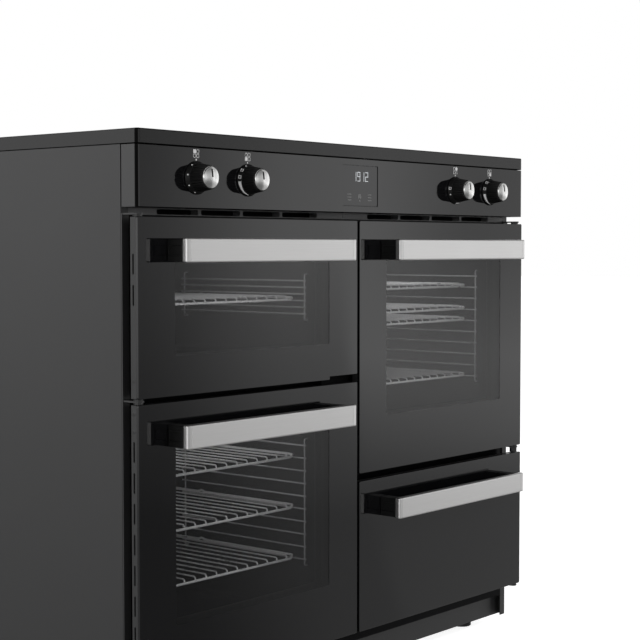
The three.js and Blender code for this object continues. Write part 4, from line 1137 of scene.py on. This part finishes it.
# %% Knob shapes
RIBS = 30
RIB_STEPS = 8
RIB_DEPTH = 0.9 * MM
SKIRT_LENGTH = 7 * MM
SKIRT_BACK_RADIUS = 24.5 * MM
SKIRT_FRONT_RADIUS = 21.6 * MM
SKIRT_RIM = 0.5 * MM
SKIRT_WALL = 1.2 * MM
BARREL_RADII = (21.2 * MM, 17.6 * MM)
CAP_RADIUS = 16.2 * MM
CAP_RISE = 5 * MM
PRESS = 0.5 * MM  # how far one piece is pressed into the next
BARREL_LIP = 0.4 * MM
CAP_CROWN = 2.2 * MM
CAP_ROLL = 1.8 * MM
SPINDLE_RADIUS = 3 * MM
POINTER_WIDTH = 3.2 * MM
POINTER_DEPTH = 0.8 * MM
POINTER_RISE = 0.12 * MM
SKIRT_BACK = FRONT - 0.3 * MM
SKIRT_FRONT = SKIRT_BACK - SKIRT_LENGTH
CONE_BACK = (SKIRT_BACK_RADIUS - 0.3 * MM, SKIRT_BACK - 1.6 * MM)
CONE_FRONT = (SKIRT_FRONT_RADIUS + 0.2 * MM, SKIRT_FRONT + 0.4 * MM)


def skirt(centre):
    """The flat cone round the knob's foot."""
    return turned([
        (SKIRT_BACK_RADIUS - SKIRT_RIM, SKIRT_BACK), (SKIRT_BACK_RADIUS, SKIRT_BACK - SKIRT_RIM),
        (SKIRT_BACK_RADIUS, SKIRT_BACK - SKIRT_WALL), CONE_BACK, CONE_FRONT,
        (SKIRT_FRONT_RADIUS - 0.4 * MM, SKIRT_FRONT), (BARREL_RADII[0] * 0.8, SKIRT_FRONT),
    ], centre, sides=64)


def barrel(centre, y_back, y_front):
    """Ribbed barrel between two depths; the front rim is drawn in by a quarter round."""
    angle = np.arange(RIBS * RIB_STEPS) * (2 * math.pi / (RIBS * RIB_STEPS))
    rib = RIB_DEPTH * (1 - np.cos(RIBS * angle)) / 2
    share = np.array([0, 0.9, 0.96, 0.99, 1.0])
    drawn = np.array([0, 0, 0.25, 0.7, 1.5]) * MM
    radius = BARREL_RADII[0] + (BARREL_RADII[1] - BARREL_RADII[0]) * share - drawn
    rings = np.zeros((len(share), len(angle), 3))
    rings[..., 0] = centre[0] + (radius[:, None] - rib) * np.cos(angle)
    rings[..., 2] = centre[2] + (radius[:, None] - rib) * np.sin(angle)
    rings[..., 1] = (y_back + (y_front - y_back) * share)[:, None]
    return loft(rings)


def cap(centre, y_back, y_front):
    """Metal cap: a rolled rim, then a shallow dome that falls off as the square of the radius."""
    edge = y_front + CAP_CROWN
    profile = [(CAP_RADIUS, y_back), (CAP_RADIUS, edge + CAP_ROLL)]
    profile += [(CAP_RADIUS - inset, edge + depth) for inset, depth in quarter(CAP_ROLL)[::-1]]
    share = np.linspace(1, 0.004, 12)[1:]
    profile += [((CAP_RADIUS - CAP_ROLL) * s, edge - CAP_CROWN * (1 - s ** 2)) for s in share]
    return turned(profile, centre, sides=64)


def pointer(centre, y_front):
    """Dark groove from the middle of the cap to its rim: a strip that follows the dome."""
    share = np.linspace(0.02, 0.86, 9)
    rings = np.zeros((len(share), 4, 3))
    rings[..., 0] = centre[0] + np.array([-1, 1, 1, -1]) * POINTER_WIDTH / 2
    rings[..., 1] = (y_front + CAP_CROWN * share ** 2 - POINTER_RISE)[:, None]
    rings[..., 1] += np.array([0, 0, 1, 1]) * POINTER_DEPTH
    rings[..., 2] = (centre[2] + (CAP_RADIUS - CAP_ROLL) * share)[:, None]
    return loft(rings)


# %% Marks on the skirt
MARK_LIFT = 0.06 * MM
DOT_HALF, SQUARE_HALF, SQUARE_LINE = 2.6, 6, 2  # degrees


def skirt_patch(centre, angles, lows, highs):
    """Print on the skirt's cone, between two angles in degrees. At the share u of the way round, it
    covers the cone from low(u) to high(u), where 0 is the cone's back and 1 its front."""
    u = np.linspace(0, 1, max(2, int(abs(angles[1] - angles[0]) / 5) + 2))
    angle = np.radians(angles[0] + (angles[1] - angles[0]) * u)
    low = lows[0] + (lows[1] - lows[0]) * u
    high = highs[0] + (highs[1] - highs[0]) * u
    share = np.stack([low, high, high, low], 1)
    lift = np.array([1, 1, -1, -1]) * MARK_LIFT
    radius = CONE_BACK[0] + (CONE_FRONT[0] - CONE_BACK[0]) * share + lift
    rings = np.zeros((len(u), 4, 3))
    rings[..., 0] = centre[0] + radius * np.cos(angle)[:, None]
    rings[..., 1] = CONE_BACK[1] + (CONE_FRONT[1] - CONE_BACK[1]) * share - lift
    rings[..., 2] = centre[2] + radius * np.sin(angle)[:, None]
    return loft(rings)


def square_mark(centre, angle):
    """A small open square on the skirt, about an angle in degrees: two lines round and two across."""
    start, end = angle - SQUARE_HALF, angle + SQUARE_HALF
    return [
        skirt_patch(centre, (start, end), (0.12, 0.12), (0.28, 0.28)),
        skirt_patch(centre, (start, end), (0.76, 0.76), (0.92, 0.92)),
        skirt_patch(centre, (start, start + SQUARE_LINE), (0.12, 0.12), (0.92, 0.92)),
        skirt_patch(centre, (end - SQUARE_LINE, end), (0.12, 0.12), (0.92, 0.92)),
    ]


def dot_mark(centre, angle):
    """A dot on the skirt, about an angle in degrees."""
    return [skirt_patch(centre, (angle - DOT_HALF, angle + DOT_HALF), (0.35, 0.35), (0.75, 0.75))]


def power_wedge(centre, start, end):
    """A wedge round the skirt that thins out, for more and less heat."""
    return [skirt_patch(centre, (start, end), (0.1, 0.55), (0.95, 0.72))]


MARKS_OF_KNOB = {
    "knob_1": [(dot_mark, 127), (dot_mark, 170), (dot_mark, 211), (dot_mark, 250)],
    "knob_2": [(dot_mark, 112), (square_mark, 140), (square_mark, 169), (power_wedge, 186, 262)],
    "knob_3": [(square_mark, 172), (dot_mark, 200), (power_wedge, 262, 325)],
    "knob_4": [(square_mark, 132), (square_mark, 166), (power_wedge, 190, 258)],
}

# %% Knobs


def rod(path, radius, up=(0, 0, 1), sides=8, closed=False):
    """A round rod along a path: a circle in the plane square to the path at each of its points.
    The circle's two axes are ahead x up and that x ahead, so up must never lie along the path."""
    path = np.array(path, float)
    if closed:
        ahead = np.roll(path, -1, 0) - np.roll(path, 1, 0)
    else:
        ahead = np.gradient(path, axis=0)
    ahead /= np.linalg.norm(ahead, axis=1, keepdims=True)
    side = np.cross(ahead, up)
    side /= np.linalg.norm(side, axis=1, keepdims=True)
    over = np.cross(side, ahead)
    turn = (np.arange(sides) + 0.5) * (2 * math.pi / sides)
    return loft(path[:, None] + radius * (
        np.cos(turn)[None, :, None] * side[:, None] + np.sin(turn)[None, :, None] * over[:, None]
    ), closed)


for part in KNOBS:
    low, high = span(part)
    centre = middle(part)
    centre[2] = middle("fascia")[2]
    cap_face, cap_foot = low[1] + POINTER_RISE, low[1] + CAP_RISE
    shapes = [
        skirt(centre), barrel(centre, SKIRT_FRONT + PRESS, cap_foot - BARREL_LIP),
        with_material(cap(centre, cap_foot + PRESS, cap_face), 1), pointer(centre, cap_face),
        rod([(centre[0], FRONT, centre[2]), (centre[0], high[1], centre[2])], SPINDLE_RADIUS, sides=12),
    ]
    for mark, *angles in MARKS_OF_KNOB[part]:
        shapes += [with_material(shape, 2) for shape in mark(centre, *angles)]
    finishes = [knob_moulding, cap_metal, white_print]
    make_piece(f"{part}_dial", shapes, finishes, part, sharp=40, map_centre=centre)
print("knobs:", len(KNOBS), "ribs each:", RIBS)

# %% [markdown]
# ## Wire racks and side ladders
#
# A rack is a closed frame of 4 mm wire with thin wires laid across it from front to back. The
# frame dips at the front, and each thin wire bends down behind that bar, so a row of bright ends
# shows above it. A short rise in the side wires catches on the ladder and stops the rack from
# tipping. The rods are circles carried along a path; the path's corners are rounded by a curve, as
# a bending machine leaves them.

# %% Racks
BAR = 2.0 * MM  # radius of the frame's wire
WIRE = 1.2 * MM  # radius of the thin wires
WELD = 0.3 * MM  # how far crossing wires are pressed into each other
WIRE_PITCH = 24 * MM
WIRE_BEND = 3 * MM
FRONT_DIP = 3.0 * MM
FRONT_SLOPE = 14 * MM
STOP_FROM_BACK = 110 * MM
STOP_LENGTH = 16 * MM
STOP_RISE = 3.0 * MM


def bent(corners, radius, steps=5):
    """A path through corners, each inner corner rounded by a Bezier curve that starts and ends
    radius away from it: (1-s)^2 a + 2 s (1-s) corner + s^2 b."""
    corners = np.array(corners, float)
    path = [corners[:1]]
    s = np.linspace(0, 1, steps + 1)[:, None]
    for before, corner, after in zip(corners, corners[1:], corners[2:]):
        a = corner + (before - corner) * (radius / np.linalg.norm(before - corner))
        b = corner + (after - corner) * (radius / np.linalg.norm(after - corner))
        path.append((1 - s) ** 2 * a + 2 * s * (1 - s) * corner + s ** 2 * b)
    return np.concatenate(path + [corners[-1:]])


def rack_shapes(low, high):
    """Frame and cross wires of a rack that fills the box between low and high."""
    x0, x1, y0, y1 = low[0] + BAR, high[0] - BAR, low[1] + BAR, high[1] - BAR
    middle_x, level = (x0 + x1) / 2, low[2] + BAR
    dip, bend_y = level - FRONT_DIP, y0 + 0.6 * FRONT_SLOPE
    stop = y1 - STOP_FROM_BACK
    side = [
        (y0 + FRONT_SLOPE, level), (stop - STOP_LENGTH / 2, level), (stop, level + STOP_RISE),
        (stop + STOP_LENGTH / 2, level), (y1, level),
    ]
    corners = [(middle_x, y0, dip), (x1 - FRONT_SLOPE, y0, dip), (x1, bend_y, level)]
    corners += [(x1, y, z) for y, z in side] + [(middle_x, y1, level)]
    corners += [(x0, y, z) for y, z in side[::-1]]
    corners += [(x0, bend_y, level), (x0 + FRONT_SLOPE, y0, dip), (middle_x, y0, dip)]
    shapes = [rod(bent(corners, WIRE_BEND, 4)[:-1], BAR, sides=12, closed=True)]
    top = level + BAR + WIRE - WELD
    count = int((x1 - x0 - WIRE_PITCH) / WIRE_PITCH)
    for x in middle_x + (np.arange(count + 1) - count / 2) * WIRE_PITCH:
        behind_bar = y0 + BAR + WIRE
        path = [(x, y1 + 1 * MM, top), (x, behind_bar + 1 * MM, top), (x, behind_bar, dip + 1.5 * MM)]
        shapes.append(rod(bent(path, WIRE_BEND), WIRE, up=(1, 0, 0)))
    return shapes


racks = sorted(name for name in parts if "_rack_" in name)
for part in racks:
    make_piece(f"{part}_wires", rack_shapes(*span(part)), [bright_wire], part)
print("racks:", len(racks))

# %% [markdown]
# ### More shelves
#
# The two tall ovens hold one shelf more each than the frame has bodies for. Such a shelf is the
# same rack some ladder rungs lower, and it moves out with the rack above it.

# %% More shelves in the two tall ovens
RUNG_PITCH = 21.25 * MM
EXTRA_SHELVES = {
    "lower_left_rack_3": ("lower_left_rack_2", 4), "upper_right_rack_4": ("upper_right_rack_2", 1),
}  # the rack that each moves with, and how many rungs below it

for name, (above, rungs) in EXTRA_SHELVES.items():
    low, high = span(above) - np.array([0, 0, rungs * RUNG_PITCH])
    shapes = rack_shapes(low, high)
    make_piece(f"{name}_wires", shapes, [bright_wire], body=body_of_part[above])
print("more shelves:", len(EXTRA_SHELVES))

# %% [markdown]
# ### Ladders
#
# On each side wall hangs a ladder of thin wire: level rungs that carry the racks, welded to two
# uprights whose ends turn back into the wall. The small oven's rungs lie closer together.

# %% Ladders
SHORT_PITCH = 11 * MM
RUNG_TAIL = 12 * MM
RUNG_END = 5 * MM
RUNG_INSET = 2.5 * MM
HOOK_BEND = 3 * MM
ROD = 1.3 * MM  # radius

for door in GLAZED:
    for hand in ("left", "right"):
        part = f"{door}_ladder_{hand}"
        low, high = span(part)
        pitch = SHORT_PITCH if door == "upper_left" else RUNG_PITCH
        wall_x, free_x, inward = (low[0], high[0], 1) if hand == "left" else (high[0], low[0], -1)
        rung_x = free_x - inward * RUNG_INSET
        upright_x = rung_x - inward * (2 * ROD - WELD)
        count = round((high[2] - low[2] - 2 * RUNG_TAIL) / pitch)
        levels = high[2] - RUNG_TAIL - np.arange(count + 1) * pitch
        shapes = [rod([(rung_x, low[1], z), (rung_x, high[1], z)], ROD, sides=10) for z in levels]
        foot, head = low[2] + ROD, high[2] - ROD
        for y in (low[1] + RUNG_END, high[1] - RUNG_END):
            path = [(wall_x, y, foot), (upright_x, y, foot), (upright_x, y, head), (wall_x, y, head)]
            shapes.append(rod(bent(path, HOOK_BEND), ROD, up=(0, 1, 0), sides=10))
        make_piece(f"{part}_wires", shapes, [ladder_wire], part)
print("ladders:", 2 * len(GLAZED))

# %% [markdown]
# ## Inside the ovens
#
# The fan behind the back wall sits under a steel plate with punched air holes. The holes are a
# mask, dark where the sheet is away, because hundreds of tiny holes would cost far more points
# than they are worth behind two panes of glass. Round the mouth of each glazed oven runs a soft
# seal: an oval section carried round the mouth, on the same rings as the hob surround.

# %% Fan plates
FAN_COVER = 14 * MM
FAN_RADIUS = 76 * MM
FAN_PLATE = 0.9 * MM
FAN_PLATE_GAP = 0.05 * MM
FAN_RIM = 1.0 * MM
LINER_WALL = 1.5 * MM
HOLE_SHADE = 0.02
FAN_OVENS = ("lower_left", "upper_right")

tree = fan_steel.node_tree
base_color = tree.nodes["Principled BSDF"].inputs["Base Color"]
shade = ramp(tree, group_node(tree, punched_group).outputs["Hole"], 0, 1, 1, HOLE_SHADE)
tree.links.new(vector_node(tree, "SCALE", base_color.links[0].from_socket, Scale=shade), base_color)

for door, part, low, high in each(FAN_OVENS, "liner"):
    cover = high[1] - LINER_WALL - FAN_COVER
    face = cover - FAN_PLATE
    profile = [(FAN_RADIUS, cover - FAN_PLATE_GAP)]
    profile += [(FAN_RADIUS - inset, face + depth * 0.8) for inset, depth in quarter(FAN_RIM)[::-1]]
    profile += [(FAN_RADIUS * share, face) for share in (0.6, 0.3, 0.004)]
    make_piece(f"{door}_fan_plate", [turned(profile, middle(part))], [fan_steel])
print("fan plates:", len(FAN_OVENS))

# %% Door seals
SEAL_WIDTH = 8 * MM
SEAL_CORNER = 22 * MM
SEAL_FILL = 0.98  # of the space between frame and door
SEAL_SIDES = 10

for door, part, low, high in each(GLAZED, "seal"):
    turn = np.arange(SEAL_SIDES) * (2 * math.pi / SEAL_SIDES)
    inset = SEAL_WIDTH / 2 * (1 + SEAL_FILL * np.cos(turn))
    level = (low[1] + high[1]) / 2 + (high[1] - low[1]) / 2 * SEAL_FILL * np.sin(turn)
    rings = drawn_in(low, high, zip(inset, level), SEAL_CORNER)
    make_piece(f"{door}_door_seal", [loft(rings, True)], [seal_cloth], part)
print("seals:", len(GLAZED))

# %% [markdown]
# ## Air guide and vent strips
#
# Behind the slotted strips a folded sheet turns the cooling air forward; it is painted near-black
# as painted shade, so the slots look dark, and without it one could look straight through to the
# slots at the back. Each strip is a punched sheet with four slots. It is made of four cells, each
# a ring between the cell's edge and its slot, so the slots are real holes.

# %% Air guide
GUIDE_BEHIND = 27 * MM
GUIDE_SHEET = 1.2 * MM
GUIDE_INSET = 2 * MM
GUIDE_DROP = 20 * MM
GUIDE_FOLD = 18 * MM
GUIDE_CORNER, GUIDE_RIM = 2 * MM, 0.3 * MM

low, high = span("front_frame")
frame_front = low[1]
left, right, guide_y = low[0] + GUIDE_INSET, high[0] - GUIDE_INSET, frame_front + GUIDE_BEHIND
guide_top = span("fascia")[1][2]
upright = ((left, guide_y, high[2] - GUIDE_DROP), (right, guide_y + GUIDE_SHEET, guide_top))
level = ((left, guide_y, guide_top - GUIDE_SHEET), (right, guide_y + GUIDE_FOLD, guide_top))
shapes = [
    rounded_slab(*upright, GUIDE_CORNER, GUIDE_RIM), rounded_slab(*level, GUIDE_CORNER, GUIDE_RIM, along=2),
]
make_piece("air_guide", shapes, [guide_paint])
print("air guide, m behind the strips:", round(guide_y - span("vent_strip_left")[1][1], 4))

# %% Vent strips
SLOTS_A_STRIP = 4
SLOT_OUTER_MARGIN = {"left": 55.5 * MM, "right": 49 * MM}
SLOT_INNER_MARGIN = 66 * MM
SLOT_WEB = 6 * MM
SLOT_EDGE = 1.1 * MM
SLOT_CORNER = 3 * MM
SQUARE_CORNER = 0.01 * MM

for side in ("left", "right"):
    part = f"vent_strip_{side}"
    low, high = span(part)
    margins = [SLOT_OUTER_MARGIN[side], SLOT_INNER_MARGIN][::1 if side == "left" else -1]
    start, end = low[0] + margins[0], high[0] - margins[1]
    pitch = (end - start + SLOT_WEB) / SLOTS_A_STRIP
    level, height = (low[2] + high[2]) / 2, high[2] - low[2]
    shapes = []
    for number in range(SLOTS_A_STRIP):
        slot_from = start + number * pitch
        slot_to = slot_from + pitch - SLOT_WEB
        cell_from = low[0] if number == 0 else slot_from - SLOT_WEB / 2
        cell_to = high[0] if number == SLOTS_A_STRIP - 1 else slot_to + SLOT_WEB / 2
        outer = rounded_rectangle(cell_to - cell_from, height, SQUARE_CORNER)
        outer += [(cell_from + cell_to) / 2, level]
        inner = rounded_rectangle(slot_to - slot_from, height - 2 * SLOT_EDGE, SLOT_CORNER)
        inner += [(slot_from + slot_to) / 2, level]
        rings = [(outer, low[1]), (inner, low[1]), (inner, high[1]), (outer, high[1])]
        shapes.append(loft(np.array([place_outline(outline, 1, y) for outline, y in rings]), True))
    make_piece(f"{part}_slotted", shapes, [strip_paint], part)
print("slots:", 2 * SLOTS_A_STRIP)

# %% [markdown]
# ## Catch, screws and feet
#
# A black catch block shows in the cut-out of the small oven's door. Screws hold the hinge bushes
# in the doors' outer edges; each is a turned button with a recess in its head. The feet are turned
# forms too: a pad, a threaded stem whose radius steps in and out along it, and a lock nut with six
# sides.

# %% Catch block
CATCH_LEFT, CATCH_RIGHT = -75 * MM, -4.5 * MM
CATCH_BOTTOM, CATCH_TOP = 507.0 * MM, 521.0 * MM
CATCH_BEHIND_FRONT = 18.0 * MM
CATCH_CORNER, CATCH_RIM = 1.5 * MM, 1 * MM

catch_low = (CATCH_LEFT, FRONT + CATCH_BEHIND_FRONT, CATCH_BOTTOM)
catch_high = (CATCH_RIGHT, frame_front, CATCH_TOP)
block = rounded_slab(catch_low, catch_high, CATCH_CORNER, CATCH_RIM)
make_piece("door_catch", [block], [guide_paint])
print("catch block depth:", round(catch_high[1] - catch_low[1], 4), "m")

# %% Hinge screws
SCREW_RADIUS = 3.2 * MM
SCREW_RISE = 0.45 * MM
SCREW_SUNK = 0.2 * MM
SCREW_RIM = 0.1 * MM
SCREW_FROM_FRONT = 5.5 * MM
SCREW_LEVELS = {
    "upper_left": (542.6,), "lower_left": (495.7, 470.0), "upper_right": (749.0,), "lower_right": (313.0,),
}  # millimetres above the floor
SCREW_PROFILE = [
    (1, -SCREW_SUNK), (1, SCREW_RIM), (0.8, SCREW_RISE), (0.42, SCREW_RISE), (0.38, SCREW_RIM),
]  # share of the radius, place outwards from the door's edge

for door, part, low, high in each(DOORS, "door_frame"):
    face, outward = (low[0], -1) if door.endswith("left") else (high[0], 1)
    profile = [(share * SCREW_RADIUS, face + outward * out) for share, out in SCREW_PROFILE]
    y = low[1] + SCREW_FROM_FRONT
    shapes = [turned(profile, (0, y, level * MM), along=0, sides=20) for level in SCREW_LEVELS[door]]
    make_piece(f"{door}_hinge_screws", shapes, [casing_paint], body=body_of_part[part])
print("hinge screws:", sum(len(levels) for levels in SCREW_LEVELS.values()))

# %% Feet
PAD_RADIUS = 19 * MM
PAD_HEIGHT = 8 * MM
PAD_EDGE = 1 * MM
PAD_SHOULDER = 2.5 * MM
STEM_RADIUS = 5 * MM
STEM_CORE = 4 * MM
THREAD = 1.5 * MM
THREAD_DEPTH = 0.35 * MM
NUT_RADIUS = 9.5 * MM
NUT_HEIGHT = 8 * MM
NUT_BEVEL = 0.8 * MM
NUT_FACE_RADIUS = 8 * MM
NUT_GAP = 0.3 * MM

nut_top = span("base_tray")[0][2] - NUT_GAP
nut = [
    (NUT_FACE_RADIUS, nut_top - NUT_HEIGHT), (NUT_RADIUS, nut_top - NUT_HEIGHT + NUT_BEVEL),
    (NUT_RADIUS, nut_top - NUT_BEVEL), (NUT_FACE_RADIUS, nut_top),
]
pad = [
    (PAD_RADIUS - PAD_EDGE, 0), (PAD_RADIUS, PAD_EDGE), (PAD_RADIUS, PAD_HEIGHT - PAD_SHOULDER),
    (PAD_RADIUS - PAD_SHOULDER, PAD_HEIGHT), (STEM_RADIUS, PAD_HEIGHT + 1 * MM),
]
feet = sorted(name for name in parts if name.startswith("foot_"))
for part in feet:
    centre, top = middle(part), span(part)[1][2]
    turns = np.arange(PAD_HEIGHT + THREAD, top - 1 * MM, THREAD / 2)
    crest = STEM_RADIUS - THREAD_DEPTH * (np.arange(len(turns)) % 2)
    stem = list(zip(crest, turns)) + [(STEM_CORE, top)]
    shapes = [turned(pad + stem, centre, along=2, sides=32)]
    shapes.append(with_material(turned(nut, centre, along=2, sides=6), 1))
    make_piece(f"{part}_levelling", shapes, [foot_plastic, zinc_steel], part)
print("feet:", len(feet))
